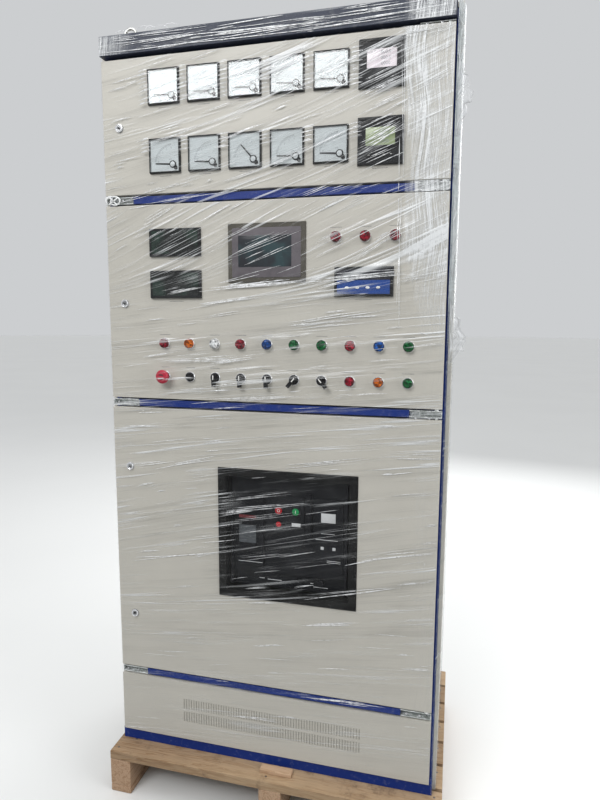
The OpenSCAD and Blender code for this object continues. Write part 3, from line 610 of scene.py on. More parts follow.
@dataclass(frozen=True)
class StretchFilm(Finish):
    """Clear stretch film: a faint haze, white creases that run with the pull (partly milky film,
    partly painted highlight), and painted shade along its folds.

    The first UV map holds the distance along the pull and across it, in metres. The
    attribute "upright" is the share of creases that stand up instead, and "load" scales
    how many creases there are.

    Attributes:
        haze: Opacity between the creases.
        crease: Opacity of a crease, whose white is partly milky film and partly painted highlight.
        strip_haze: Opacity where the creases stand up.
        shade: Opacity of the painted shade on a fold's dark side.
    """

    haze: float = 0.014
    crease: float = 0.66
    strip_haze: float = 0.22
    shade: float = 0.11

    def lines(self, graph: Graph, where: Socket, scale: Sequence[float], width: float,
              group: Sequence[float], start: float, seed: float) -> Socket:
        """Make long thin lines that come and go in groups.

        Args:
            graph: The material's graph.
            where: Coordinates along and across the pull.
            scale: Line features a metre, along and across.
            width: Line width, as a share of the pattern's range.
            group: Group features a metre, along and across.
            start: Level of the group pattern at which lines begin.
            seed: Place of the patterns along the fourth axis.

        Returns:
            The lines' strength, 0 to 1.
        """
        fine, coarse = (graph.node("ShaderNodeVectorMath", where, (*pair, 0),
                                   operation="MULTIPLY").outputs[0] for pair in (scale, group))
        pattern = graph.noise(fine, 1.0, 1.5, 0.45, 0.0, seed)
        away = graph.math("ABSOLUTE", graph.math("SUBTRACT", pattern, 0.5))
        gathered = graph.noise(coarse, 1.0, 2.0, 0.6, 0.0, seed + 3.1)
        return graph.times(graph.span(away, 0.0, width, 1.0, 0.0),
                           graph.span(gathered, start, start + 0.09))

    def paint(self, graph: Graph) -> None:
        """Build the film.

        Args:
            graph: The material's graph.
        """
        pulled, standing = graph.place(layer="UVMap"), graph.place(layer="Standing")
        load, upright = (graph.node("ShaderNodeAttribute", attribute_name=name).outputs["Fac"]
                         for name in ("load", "upright"))

        def total(lines: Sequence[tuple], weight: float) -> Socket:
            """Return the sum of three sets of lines, the last of them weighted."""
            first, second, third = (self.lines(graph, *line) for line in lines)
            return graph.math("ADD", graph.math("ADD", first, second), graph.times(weight, third))

        # The white lines stand partly for milky film and partly for painted highlights on the
        # creases.
        level = graph.times(load, total((
            (pulled, (1.5, 84), 0.042, (1.5, 24), 0.54, 1.0),
            (pulled, (1.1, 46), 0.026, (1.2, 13), 0.55, 9.0),
            (pulled, (4.5, 190), 0.05, (2.4, 40), 0.53, 17.0)), 0.5))
        rising = graph.times(upright, total((
            (standing, (3.0, 150), 0.05, (4.0, 34), 0.38, 23.0),
            (standing, (7.0, 260), 0.07, (7.0, 60), 0.40, 31.0),
            (pulled, (7.0, 260), 0.07, (6.0, 34), 0.40, 37.0)), 0.6))
        lines = graph.math("ADD", level, graph.times(rising, 0.85))
        milky = graph.span(graph.noise(pulled, 9.0, 3.0, 0.7), 0.35, 0.75, self.haze * 0.5,
                           self.haze * 1.7)
        cloud = graph.span(graph.noise(standing, 14.0, 3.0, 0.7), 0.3, 0.7, 0.5, 1.4)
        milky = graph.math("MULTIPLY_ADD", graph.times(upright, cloud), self.strip_haze, milky)
        alpha = graph.math("MULTIPLY_ADD", lines, self.crease, milky)
        alpha = graph.math("MINIMUM", alpha, 0.85)
        # Painted shade: dark lines along the folds turn the film grey.
        folds = graph.math("ADD",
                           self.lines(graph, pulled, (1.3, 120), 0.055, (1.7, 18), 0.46, 43.0),
                           self.lines(graph, pulled, (2.6, 220), 0.06, (2.2, 34), 0.48, 53.0))
        fold_shade = graph.times(graph.times(graph.times(folds, load), self.shade),
                          graph.math("SUBTRACT", 1.0, alpha))
        both = graph.math("ADD", alpha, fold_shade)
        share = graph.math("DIVIDE", fold_shade, graph.math("MAXIMUM", both, 0.001))
        graph.surface(Base_Color=graph.mix(share, self.colour, screen(104, 104, 100)),
                      Roughness=0.22, Alpha=both, Normal=graph.bump(lines, 0.0006, 0.7),
                      Specular_IOR_Level=0.6)


@dataclass(frozen=True)
class FilmCrease(Finish):
    """A tight crease of stretch film, milky white and glossy; its white is partly a painted
    highlight.

    The UV map holds the distance along the crease in metres, and 0 to 1 across it.
    """

    def paint(self, graph: Graph) -> None:
        """Build the crease, soft at its edges and uneven along its length.

        Args:
            graph: The material's graph.
        """
        across = graph.node("ShaderNodeSeparateXYZ", graph.place(layer="UVMap")).outputs["Y"]
        off = graph.math("ABSOLUTE", graph.math("SUBTRACT", across, 0.5))
        soft = graph.span(off, 0.16, 0.5, 1.0, 0.0)
        broken = graph.noise(graph.place((60, 60, 60)), 1.0, 3.0, 0.7)
        alpha = graph.times(soft, graph.span(broken, 0.32, 0.58, 0.30, 1.0))
        # The crease's white stands partly for a painted highlight.
        graph.surface(Base_Color=self.colour, Roughness=0.16, Specular_IOR_Level=0.9,
                      Normal=graph.bump(soft, 0.0006), Alpha=alpha)


@dataclass(frozen=True)
class StudioPaint(Finish):
    """Floor paint that looks paler than the light it throws back."""

    def paint(self, graph: Graph) -> None:
        """Build the paint."""
        pale = graph.shaded(self.colour, graph.noise(graph.place(), 0.7, 3.0), 0.01)
        graph.surface(Base_Color=graph.mix(graph.seen(), screen(160, 160, 158), pale),
                      Roughness=0.7)


DOOR_GREY = PowderCoat("door_grey_coat", screen(191, 188, 179), 0.42, 0.025)
FRAME_BLUE = PowderCoat("frame_blue_coat", screen(22, 48, 122), 0.40, 0.06, gloss=0.2)
HEADER_SLATE = PowderCoat("header_slate_coat", screen(46, 52, 68), 0.42, 0.08, gloss=0.2)
ZINC = Metal("bright_zinc", screen(238, 240, 240), 0.22, screen(112, 124, 116), 0.75, 110.0,
             bare=0.5)
FORGED = Metal("forged_eye_steel", screen(200, 201, 198), 0.34, screen(170, 168, 160), 0.5, 60.0)
GALVANISED = Metal("galvanised_rail", screen(178, 182, 184), 0.38, screen(150, 156, 160), 0.6, 40.0)
CHROME = Metal("chrome_ring", screen(230, 231, 233), 0.12, screen(190, 190, 196), 0.2, 40.0,
               bare=0.5)
LOCK_PLATE = Metal("plated_lock", screen(196, 197, 199), 0.22, screen(120, 122, 126), 0.5, 80.0,
                   bare=0.6)
NAIL = Metal("nail_steel", screen(120, 118, 114), 0.45, screen(96, 70, 50), 0.5, 300.0)
BEZEL = Plastic("bezel_plastic", screen(30, 31, 33), 0.40)
SURROUND = Plastic("surround_plastic", screen(16, 16, 16), 0.5)
BREAKER = Plastic("breaker_plastic", screen(24, 25, 28), 0.44)
SCREEN_FRAME = Plastic("screen_frame_plastic", screen(84, 81, 74), 0.44)
SCREEN_INNER = Plastic("screen_inner_plastic", screen(104, 100, 104), 0.40)
KNOB = Plastic("knob_plastic", screen(26, 26, 28), 0.32)
STOP_RED = Plastic("stop_red_plastic", screen(176, 40, 62), 0.32, 0.00002, 0.2)
OFF_RED = Plastic("off_red_cap", screen(176, 30, 40), 0.3, 0.00002, 0.4)
ON_GREEN = Plastic("on_green_cap", screen(20, 130, 72), 0.3, 0.00002, 0.4)
FILTER = Plastic("filter_mat", screen(172, 169, 160), 0.8, 0.0006)
NYLON = Plastic("white_nylon", screen(232, 234, 234), 0.35, 0.00002, 0.3)
CARD = DialCard("dial_card", screen(229, 233, 235))
PANE = ClearPane("clear_pane", (0.97, 0.98, 0.98, 1.0))
SMOKED = SmokedWindow("smoked_window", screen(14, 17, 17), screen(30, 50, 42))
LCD_DARK = SmokedWindow("screen_glass", screen(44, 46, 51), screen(52, 70, 74), 0.14)
CONTROLLER_GLASS = SmokedWindow("controller_glass", screen(40, 38, 46), screen(56, 58, 68), 0.16)
TRIP_GLASS = SmokedWindow("trip_display_glass", screen(72, 76, 80), screen(92, 98, 102), 0.2)
INK_BLACK = Print("figure_ink", screen(44, 47, 52))
INK_PALE = Print("scale_ink", screen(138, 142, 148))
INK_WHITE = Print("white_ink", screen(232, 232, 228), 0.35, 0.04)
LABEL_GREY = Print("label_ink", screen(92, 94, 98), 0.5, 0.2)
BLUE_BAND = Print("blue_band", screen(12, 62, 138), 0.3, 0.08)
RED_BAND = Print("red_band", screen(104, 26, 34), 0.4, 0.15)
PALE_LABEL = Print("pale_label", screen(205, 207, 208), 0.45, 0.05)
FILM = StretchFilm("stretch_film", screen(240, 243, 245))
LOOSE_FILM = StretchFilm("loose_film", screen(216, 219, 222), 0.06, 0.5, 0.14, 0.3)
CORNER_FILM = StretchFilm("corner_film", screen(184, 193, 196), 0.014, 0.4, 0.52)
# A crease's white is partly milky film and partly a painted highlight.
CREASE = FilmCrease("film_crease", screen(246, 248, 250))
FLOOR_PAINT = StudioPaint("studio_floor_paint", screen(228, 229, 228))
LENSES = {
    f"{tint}_lamp{plural}": LampLens(f"{tint}_lens_tint", screen(*colour))
    for tint, plural, colour in (
        ("red", "s", (140, 8, 36)), ("orange", "s", (206, 100, 8)), ("white", "", (226, 229, 230)),
        ("blue", "s", (10, 74, 150)), ("green", "s", (0, 92, 44)))
}
DISPLAY_TINTS = (screen(232, 224, 229), screen(146, 160, 122))
# Middle along and out and up from the breaker's middle, width and height of each pale label.
BREAKER_LABELS = (
    (121, 24.6, 62, 43, 28), (103.4, 24.7, -30, 9, 9), (138.6, 24.7, -30, 9, 9),
    (117, 23.9, -4, 66, 1.6), (138, 23.9, -67, 40, 1.4), (138, 23.9, -72, 40, 1.4),
    (-86, 37.9, -148, 16, 2), (-46, 37.9, -150, 44, 2), (70, 37.9, -148, 9, 2),
    (97, 36.9, -158, 44, 2), (120, 23.9, 15, 40, 1.2), (24, 25.2, 33, 27, 11),
    (-117, 19.9, -92, 76, 1.4),
)


def mm(x: float = 0.0, y: float = 0.0, z: float = 0.0) -> Vector:
    """Return a shift given in millimetres."""
    return Vector((x * MM, y * MM, z * MM))


class Shape:
    """Ready shapes in millimetres, each a new bmesh about the origin that faces -Y."""

    @staticmethod
    def soften(mesh: Mesh, edges: Sequence[bmesh.types.BMEdge], width: float,
               segments: int = 2) -> None:
        """Bevel these edges of a mesh by a width, in so many steps."""
        bmesh.ops.bevel(mesh, geom=edges, offset=width * MM, affect="EDGES", segments=segments,
                        profile=0.5, material=-1)

    @staticmethod
    def block(width: float, depth: float, height: float, bevel: float = 0.0) -> Mesh:
        """Make a block.

        Args:
            width, depth, height: Sizes along X, Y and Z.
            bevel: Width of the softened edges.

        Returns:
            The block.
        """
        mesh = bmesh.new()
        bmesh.ops.create_cube(mesh, size=1.0)
        bmesh.ops.scale(mesh, vec=mm(width, depth, height), verts=mesh.verts)
        if bevel:
            Shape.soften(mesh, mesh.edges[:], bevel)
        return mesh

    @staticmethod
    def plate(width: float, depth: float, height: float, corner: float,
              edge: float = 0.0) -> Mesh:
        """Make a plate whose four corners are round as seen from the front.

        Args:
            width, depth, height: Sizes along X, Y and Z.
            corner: Radius of the corners.
            edge: Width of the softened front edge.

        Returns:
            The plate.
        """
        mesh = Shape.block(width, depth, height)
        half = depth / 2 * MM
        Shape.soften(mesh, [e for e in mesh.edges
                            if abs(e.verts[0].co.y - e.verts[1].co.y) > half], corner, 5)
        if edge:
            Shape.soften(mesh, [e for e in mesh.edges
                                if all(v.co.y < -half * 0.98 for v in e.verts)], edge)
        return mesh

    @staticmethod
    def turned(profile: Sequence[Pair], steps: int = 32) -> Mesh:
        """Turn a profile about the Y axis.

        Args:
            profile: Radius and height over the face, from one end to the other.
            steps: Faces round it.

        Returns:
            The turned shape.
        """
        mesh = bmesh.new()
        verts = [mesh.verts.new(mm(radius, -height)) for radius, height in profile]
        edges = [mesh.edges.new(pair) for pair in zip(verts, verts[1:])]
        bmesh.ops.spin(mesh, geom=verts + edges, cent=(0, 0, 0), axis=(0, 1, 0),
                       angle=math.tau, steps=steps, use_merge=True)
        bmesh.ops.remove_doubles(mesh, verts=mesh.verts, dist=1e-7)
        bmesh.ops.recalc_face_normals(mesh, faces=mesh.faces)
        return mesh

    @staticmethod
    def arc(radius: float, width: float, start: float, end: float,
            steps: int = 24) -> Mesh:
        """Make a flat arc that faces -Y.

        Args:
            radius: Middle radius.
            width: Width of the line.
            start, end: Angles of its ends from +X towards +Z, in degrees.
            steps: Faces along it.

        Returns:
            The arc.
        """
        mesh = bmesh.new()
        ends = [mesh.verts.new(mm(radius + side * width / 2)) for side in (-1, 1)]
        edge = mesh.edges.new(ends)
        bmesh.ops.rotate(mesh, cent=(0, 0, 0), matrix=Matrix.Rotation(-math.radians(start), 3, "Y"),
                         verts=mesh.verts)
        bmesh.ops.spin(mesh, geom=[*ends, edge], cent=(0, 0, 0), axis=(0, 1, 0),
                       angle=math.radians(start - end), steps=steps, use_merge=False)
        return mesh

    @staticmethod
    def oval(wide: float, high: float, start: float, end: float, steps: int,
             rise: float = 0.0) -> list[Vector]:
        """Give points on part of an oval about the origin.

        Args:
            wide, high: Half its width and half its height.
            start, end: Angles of its ends from +X towards +Z, in degrees.
            steps: Steps along it.
            rise: Distance that each step comes forward.

        Returns:
            The points.
        """
        angles = [math.radians(start + (end - start) * k / steps) for k in range(steps + 1)]
        return [mm(wide * math.cos(a), -rise * k, high * math.sin(a)) for k, a in enumerate(angles)]

    @staticmethod
    def ribbon(line: Sequence[Vector], width: float) -> Mesh:
        """Make a strip that faces -Y and narrows to both ends.

        Args:
            line: Points along its middle, in metres.
            width: Width at its middle, in metres.

        Returns:
            The strip, with a UV map of metres along it and 0 to 1 across it.
        """
        mesh = bmesh.new()
        layer = mesh.loops.layers.uv.new("UVMap")
        steps = len(line) - 1
        bmesh.ops.create_grid(mesh, x_segments=steps, y_segments=2, size=0.5, calc_uvs=True)
        for loop in (loop for face in mesh.faces for loop in face.loops):
            place = loop.vert.co
            loop[layer].uv = ((place.x + 0.5) * steps * (line[1] - line[0]).length, place.y + 0.5)
        for vert in mesh.verts:
            index = round((vert.co.x + 0.5) * steps)
            across = vert.co.y
            ahead = (line[min(index + 1, steps)] - line[max(index - 1, 0)]).normalized()
            side = FRONT.cross(ahead).normalized()
            taper = 0.2 + 0.8 * max(0.0, math.sin(math.pi * index / steps)) ** 0.6
            crown = 0.3 * width * (1 - 2 * abs(across)) * taper
            vert.co = line[index] + side * (across * width * taper) + FRONT * crown
        return mesh

    @staticmethod
    def glyphs(text: str, height: float) -> Mesh:
        """Make plain figures of a height that face -Y, centred on the origin.

        Args:
            text: The figures.
            height: Height of a figure.

        Returns:
            The figures.
        """
        curve = bpy.data.curves.new("figures", "FONT")
        curve.body = text
        curve.size = height * MM * 1.4
        curve.align_x = curve.align_y = "CENTER"
        curve.resolution_u = 2
        holder = bpy.data.objects.new("figures", curve)
        mesh = bmesh.new()
        mesh.from_mesh(holder.to_mesh())
        holder.to_mesh_clear()
        bpy.data.objects.remove(holder)
        bpy.data.curves.remove(curve)
        bmesh.ops.rotate(mesh, cent=(0, 0, 0), matrix=Matrix.Rotation(math.pi / 2, 3, "X"),
                         verts=mesh.verts)
        return mesh


@dataclass
class Piece:
    """A new piece in the making, gathered from shapes set in their places.

    Attributes:
        body: Body that it rides on.
        slot: Material slot of the record, where it has one; not used.
        mesh: The shapes so far.
    """

    name: str
    body: Body
    finish: Finish
    slot: str = ""
    mesh: Mesh = field(default_factory=bmesh.new)

    def add(self, shape: Mesh,
            places: Iterable[Matrix | Vector] = (Vector(),)) -> "Piece":
        """Set a copy of a shape in each place.

        Args:
            shape: The shape, which is freed.
            places: A matrix or a point for each copy.

        Returns:
            The piece itself.
        """
        scratch = bpy.data.meshes.new("scratch")
        for place in places:
            copy = shape.copy()
            copy.transform(place if isinstance(place, Matrix) else moved(place))
            copy.to_mesh(scratch)
            copy.free()
            self.mesh.from_mesh(scratch)
        bpy.data.meshes.remove(scratch)
        shape.free()
        return self

    def made(self, smooth: float = 35.0, replaces: Sequence[str] = (),
             recalc: bool = False) -> Thing:
        """Finish the piece and let it ride on its body.

        Args:
            smooth: Edges under this angle, in degrees, are shaded smooth.
            replaces: CAD nodes that the piece stands for.
            recalc: Whether its normals are worked out again.

        Returns:
            The piece's object.
        """
        if recalc:
            bmesh.ops.recalc_face_normals(self.mesh, faces=self.mesh.faces)
        data = bpy.data.meshes.new(self.name)
        self.mesh.to_mesh(data)
        self.mesh.free()
        data.polygons.foreach_set("use_smooth", [True] * len(data.polygons))
        data.set_sharp_from_angle(angle=math.radians(smooth))
        data.materials.append(self.finish.material())
        piece = shown(self.name, data)
        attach(piece, self.body.value)
        if replaces:
            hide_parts(*replaces)
        LOG.info("%s: %d faces on %s", self.name, len(data.polygons), self.body.value)
        return piece


class NodeDresser:
    """Gives CAD nodes their finish and softened edges, with their meshes left alone."""

    def __init__(self) -> None:
        """Make the node groups that merge a mesh, weigh its edges and shade it."""
        merge, shade = self.group("merge_loose_faces"), self.group("shade_by_angle")
        self.chain(merge, [merge.node("GeometryNodeMergeByDistance", Distance=1e-6),
                           merge.node("GeometryNodeRemoveAttribute", Name="custom_normal")])
        angle = shade.node("GeometryNodeInputMeshEdgeAngle").outputs["Unsigned Angle"]
        sharp = shade.node("FunctionNodeCompare", angle, math.radians(32),
                           operation="GREATER_THAN")
        self.chain(shade, [shade.node("GeometryNodeSetShadeSmooth"),
                           shade.node("GeometryNodeSetShadeSmooth", domain="EDGE",
                                      Selection=sharp.outputs[0], Shade_Smooth=False)])
        self.merge, self.shade, self.weigh = merge.tree, shade.tree, self.weighing().tree

    def weighing(self) -> Graph:
        """Give a panel's sharp outer edges a bevel, the whole width in the door faces' plane.

        Returns:
            The group's graph.
        """
        graph = self.group("weigh_front_edges")

        def calc(operation: str, *values: object, **named: object) -> Socket:
            """Return the result of a vector node on these values."""
            made = graph.node("ShaderNodeVectorMath", *values, operation=operation, **named)
            return made.outputs[0]

        def part(vector: Socket, axis: str) -> Socket:
            """Return one axis of a vector."""
            return graph.node("ShaderNodeSeparateXYZ", vector).outputs[axis]

        angle = graph.node("GeometryNodeInputMeshEdgeAngle").outputs["Unsigned Angle"]
        ends = graph.node("GeometryNodeInputMeshEdgeVertices").outputs
        first, second = ends["Position 1"], ends["Position 2"]
        bounds = graph.node("GeometryNodeBoundBox")
        middle = calc("SCALE", calc("ADD", first, second), Scale=0.5)
        inside = calc("MINIMUM", calc("SUBTRACT", middle, bounds.outputs["Min"]),
                      calc("SUBTRACT", bounds.outputs["Max"], middle))
        outer = graph.math("LESS_THAN", graph.math("MINIMUM", part(inside, "X"),
                                                   part(inside, "Z")), 0.5 * MM)
        front = graph.math("LESS_THAN", graph.math("MAXIMUM", part(first, "Y"),
                                                   part(second, "Y")), DOOR_FACE + 0.5 * MM)
        sharp = graph.math("GREATER_THAN", angle, math.radians(40))
        share = graph.math("MULTIPLY_ADD", front, 0.64, 0.36)
        store = graph.node("GeometryNodeStoreNamedAttribute", domain="EDGE", data_type="FLOAT",
                           Name="bevel_weight_edge",
                           Value=graph.times(share, graph.times(outer, sharp)))
        graph.put(bounds.inputs[0], self.chain(graph, [store]))
        return graph

    @staticmethod
    def group(name: str) -> Graph:
        """Make an empty geometry group with one geometry in and one out.

        Args:
            name: Its name.

        Returns:
            Its graph.
        """
        tree = bpy.data.node_groups.new(name, "GeometryNodeTree")
        for way in ("INPUT", "OUTPUT"):
            tree.interface.new_socket("Geometry", in_out=way, socket_type="NodeSocketGeometry")
        return Graph(tree)

    @staticmethod
    def chain(graph: Graph, steps: Sequence[bpy.types.Node]) -> Socket:
        """Link a group's geometry through some steps.

        Args:
            graph: The group's graph.
            steps: The nodes, in order.

        Returns:
            The socket at which the geometry comes in.
        """
        line = [graph.node("NodeGroupInput"), *steps, graph.node("NodeGroupOutput")]
        for first, second in zip(line, line[1:]):
            graph.put(second.inputs[0], first.outputs[0])
        return line[0].outputs[0]

    def dress(self, finish: Finish, softness: float, *nodes: str, front: bool = False) -> None:
        """Give nodes a finish and softened edges.

        Args:
            finish: The finish.
            softness: Width of the softened edges in millimetres, or 0 for none.
            nodes: The nodes' names.
            front: Whether only the front's edges get the whole width.
        """
        steps = [
            ("NODES", {"node_group": self.merge}),
            ("DECIMATE", {"decimate_type": "DISSOLVE", "angle_limit": math.radians(1)}),
            *[("NODES", {"node_group": self.weigh})] * front,
            ("BEVEL", {"width": softness * MM, "segments": 2, "angle_limit": math.radians(40),
                       "limit_method": "WEIGHT" if front else "ANGLE",
                       "use_clamp_overlap": False}),
            ("NODES", {"node_group": self.shade}),
            ("WEIGHTED_NORMAL", {"keep_sharp": True, "weight": 90}),
        ]
        for name in nodes:
            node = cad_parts[name]
            node.material_slots[0].link = "OBJECT"
            node.material_slots[0].material = finish.material()
            for kind, settings in steps if softness else ():
                step = node.modifiers.new(kind, kind)
                for key, value in settings.items():
                    setattr(step, key, value)
            LOG.info("dressed %s in %s", name, finish.name)


@dataclass
class Assembly:
    """A sub-assembly, which dresses its CAD nodes and adds small parts to them."""

    dresser: NodeDresser


@dataclass
class Enclosure(Assembly):
    """The cabinet's shell and frame, with its fasteners.

    Attributes:
        screw_d: Diameter of a screw's head, and screw_h its height.
        screw_pitch: Largest distance between two screws of the rear cover.
        screw_inset: Distance from a panel's edge to its screws.
        roof_count: Screws along each side of the roof.
    """

    screw_d: float = 9.0
    screw_h: float = 2.6
    screw_pitch: float = 340.0
    screw_inset: float = 16.0
    roof_count: int = 4

    def screws(self, name: str, spots: Iterable[Sequence[float]], turn: Matrix) -> None:
        """Set pan-head screws with a cross recess.

        Args:
            name: The piece's name.
            spots: Where they sit.
            turn: Turns them to their panel.
        """
        shares = ((0, 0), (1, 0), (1, 0.45), (0.8, 0.85), (0.45, 1), (0.2, 0.7), (0, 0.35))
        head = Shape.turned([(self.screw_d / 2 * wide, self.screw_h * high)
                             for wide, high in shares], 16)
        places = [moved(spot) @ turn for spot in spots]
        Piece(name, Body.CABINET, ZINC, "zinc_plate").add(head, places).made()

    def panel_screws(self) -> None:
        """Set screws round the rear cover and along the roof's two sides."""
        cover, roof = node_box("rear_cover"), node_box("roof_panel")
        inset = self.screw_inset * MM
        left, right = cover.lo.x + inset, cover.hi.x - inset
        foot, top = cover.lo.z + inset, cover.hi.z - inset
        rows = math.ceil((top - foot) / (self.screw_pitch * MM))
        columns = math.ceil((right - left) / (self.screw_pitch * MM))
        spots = [(x, cover.hi.y, z) for x in (left, right)
                 for z in np.linspace(foot, top, rows + 1)]
        spots += [(x, cover.hi.y, z) for z in (foot, top)
                  for x in np.linspace(left, right, columns + 1)[1:-1]]
        self.screws("rear_cover_screws", spots, Matrix.Rotation(math.pi, 4, "Z"))
        rows = np.linspace(roof.lo.y + inset, roof.hi.y - inset, self.roof_count)
        self.screws("roof_screws", [(x, y, roof.hi.z) for x in (roof.lo.x + inset, roof.hi.x - inset)
                                    for y in rows], UPWARDS)

    def bracket_screws(self) -> None:
        """Set two countersunk screws in each seam bracket's front."""
        places = [plate.lo + Vector((plate.size.x * share, 0, 10 * MM))
                  for plate in solids("hinge_brackets") if plate.size.x >= 60 * MM
                  for share in (0.2, 0.62)]
        head = Shape.turned([(0, 0), (3.4, 0), (3.2, 0.5), (1.6, 0.8), (0.8, 0.3), (0, 0.2)], 16)
        Piece("bracket_screws", Body.CABINET, LOCK_PLATE, "lock_metal").add(head, places).made()

    def vent_filter(self) -> None:
        """Set a pale filter mat behind the vent slots."""
        panel = node_box("vent_panel")
        mat = Shape.plate(640, 3, 110, 6, 0.8)
        middle = Vector((panel.centre.x, panel.lo.y, panel.centre.z)) + mm(4, 3.2, -10)
        Piece("vent_filter", Body.CABINET, FILTER).add(mat, [middle]).made()

    def nylon_tie(self) -> None:
        """Knot a white tie round the left end of the upper seam."""
        left = min(box.lo.x for box in solids("hinge_brackets"))
        knot = Vector((left, DOOR_FACE, node_box("middle_door").hi.z + 15 * MM))
        piece = Piece("nylon_tie", Body.CABINET, NYLON)
        for x, z, *oval in ((26, 0, 23, 12, -40, 220), (32, -1, 15, 11, 120, 400),
                            (18, 2, 16, 11, 60, 200)):
            middle = knot + mm(x, -2.4, z)
            line = [middle + point for point in Shape.oval(*oval, 20, 0.08)]
            piece.add(Shape.ribbon(line, 4.6 * MM))
        for tilt in (0.75, -0.55):
            piece.add(Shape.block(34, 1.2, 4.2, 0.4), [
                moved(knot + mm(27, -4.4, -1)) @ Matrix.Rotation(tilt, 4, "Y")])
        piece.made(60)

    def build(self) -> None:
        """Dress the shell and add its screws."""
        dress = self.dresser.dress
        dress(FRAME_BLUE, 1.2, "base_frame", "front_posts", "rear_posts", "top_frame", "crossbeams")
        dress(DOOR_GREY, 1.0, "left_side_panel", "right_side_panel", "rear_cover", "roof_panel")
        dress(DOOR_GREY, 0.0, "vent_panel")
        dress(HEADER_SLATE, 1.2, "header")
        dress(ZINC, 0.5, "hinge_brackets")
        dress(FORGED, 0.0, "lifting_eyes")
        dress(GALVANISED, 1.0, "side_rails", "breaker_rails")
        self.panel_screws()
        self.bracket_screws()
        self.vent_filter()
        self.nylon_tie()


@dataclass
class Doors(Assembly):
    """The three doors with their locks.

    Attributes:
        ring_d: Diameter of the bright ring round a lock's socket.
    """

    ring_d: float = 23.0

    def build(self) -> None:
        """Dress the doors, and set a polished ring and a dark socket on each lock."""
        locks = {Body.UPPER: "upper_door_lock", Body.MIDDLE: "middle_door_lock",
                 Body.LOWER: "lower_door_locks"}
        self.dresser.dress(DOOR_GREY, 2.2, "upper_door", "middle_door", "lower_door", front=True)
        self.dresser.dress(LOCK_PLATE, 0.0, *locks.values())
        outer = self.ring_d / 2
        for body, node in locks.items():
            places = [Vector((lock.centre.x, lock.lo.y, lock.hi.z - lock.size.x / 2))
                      for lock in solids(node)]
            ring = Shape.turned([(outer * 0.76, -0.6), (outer * 0.78, 0.5), (outer * 0.86, 1.0),
                                 (outer * 0.95, 0.8), (outer, 0.1), (outer * 0.98, -0.6)])
            Piece(f"{body.value}_lock_rings", body, CHROME, "lock_metal").add(ring, places).made()
            wide = outer * (0.5 if body is Body.LOWER else 0.34)
            core = Shape.turned([(wide, -0.3), (wide, 0.4), (wide * 0.8, 0.7), (wide * 0.4, 0.3),
                                 (0, 0.2)], 3)
            Piece(f"{body.value}_lock_cores", body, KNOB, "lock_metal").add(core, places).made()


@dataclass
class LabelMarks:
    """Plain dashes where each instrument's label stands.

    Attributes:
        draw: Source of the dashes' lengths.
        dash_h: Height of a dash.
        gap: Gap between two dashes.
        over_knob: Height of a row over the middle of a button or switch.
    """

    draw: random.Random
    dash_h: float = 1.6
    gap: float = 1.1
    over_knob: float = 27.0

    def row(self, piece: Piece, x: float, z: float, length: float) -> None:
        """Add one row of dashes to a piece.

        Args:
            piece: The piece that takes them.
            x: Middle of the row on the door's face, in metres.
            z: Its height, in metres.
            length: Length of the row in millimetres.
        """
        along = -length / 2
        while along < length / 2:
            dash = self.draw.uniform(1.0, 2.6)
            shape = Shape.block(dash, 0.16, self.dash_h)
            piece.add(shape, [Vector((x, DOOR_FACE, z)) + mm(along + dash / 2, -0.06)])
            along += dash + self.gap

    def build(self) -> None:
        """Set a row under each meter and over each lamp and switch."""
        over = self.over_knob
        for body, rows in (
                (Body.UPPER, (("pointer_meters", -7, 34), ("power_meters", -7, 40))),
                (Body.MIDDLE, (*((node, 12, 30) for node in LENSES), ("emergency_stop", over, 26),
                               ("push_button", over, 26), ("selector_switches", over, 30),
                               ("digital_indicators", -8, 44), ("speed_controller", -8, 44)))):
            piece = Piece(f"{body.value.split('_')[0]}_label_marks", body, LABEL_GREY)
            for node, off, length in rows:
                for box in solids(node):
                    foot = box.lo.z if off < 0 else box.hi.z
                    if off == over:
                        foot = SELECTOR_ROW if node == "selector_switches" else box.centre.z
                    self.row(piece, box.centre.x, foot + off * MM, length)
            piece.made()


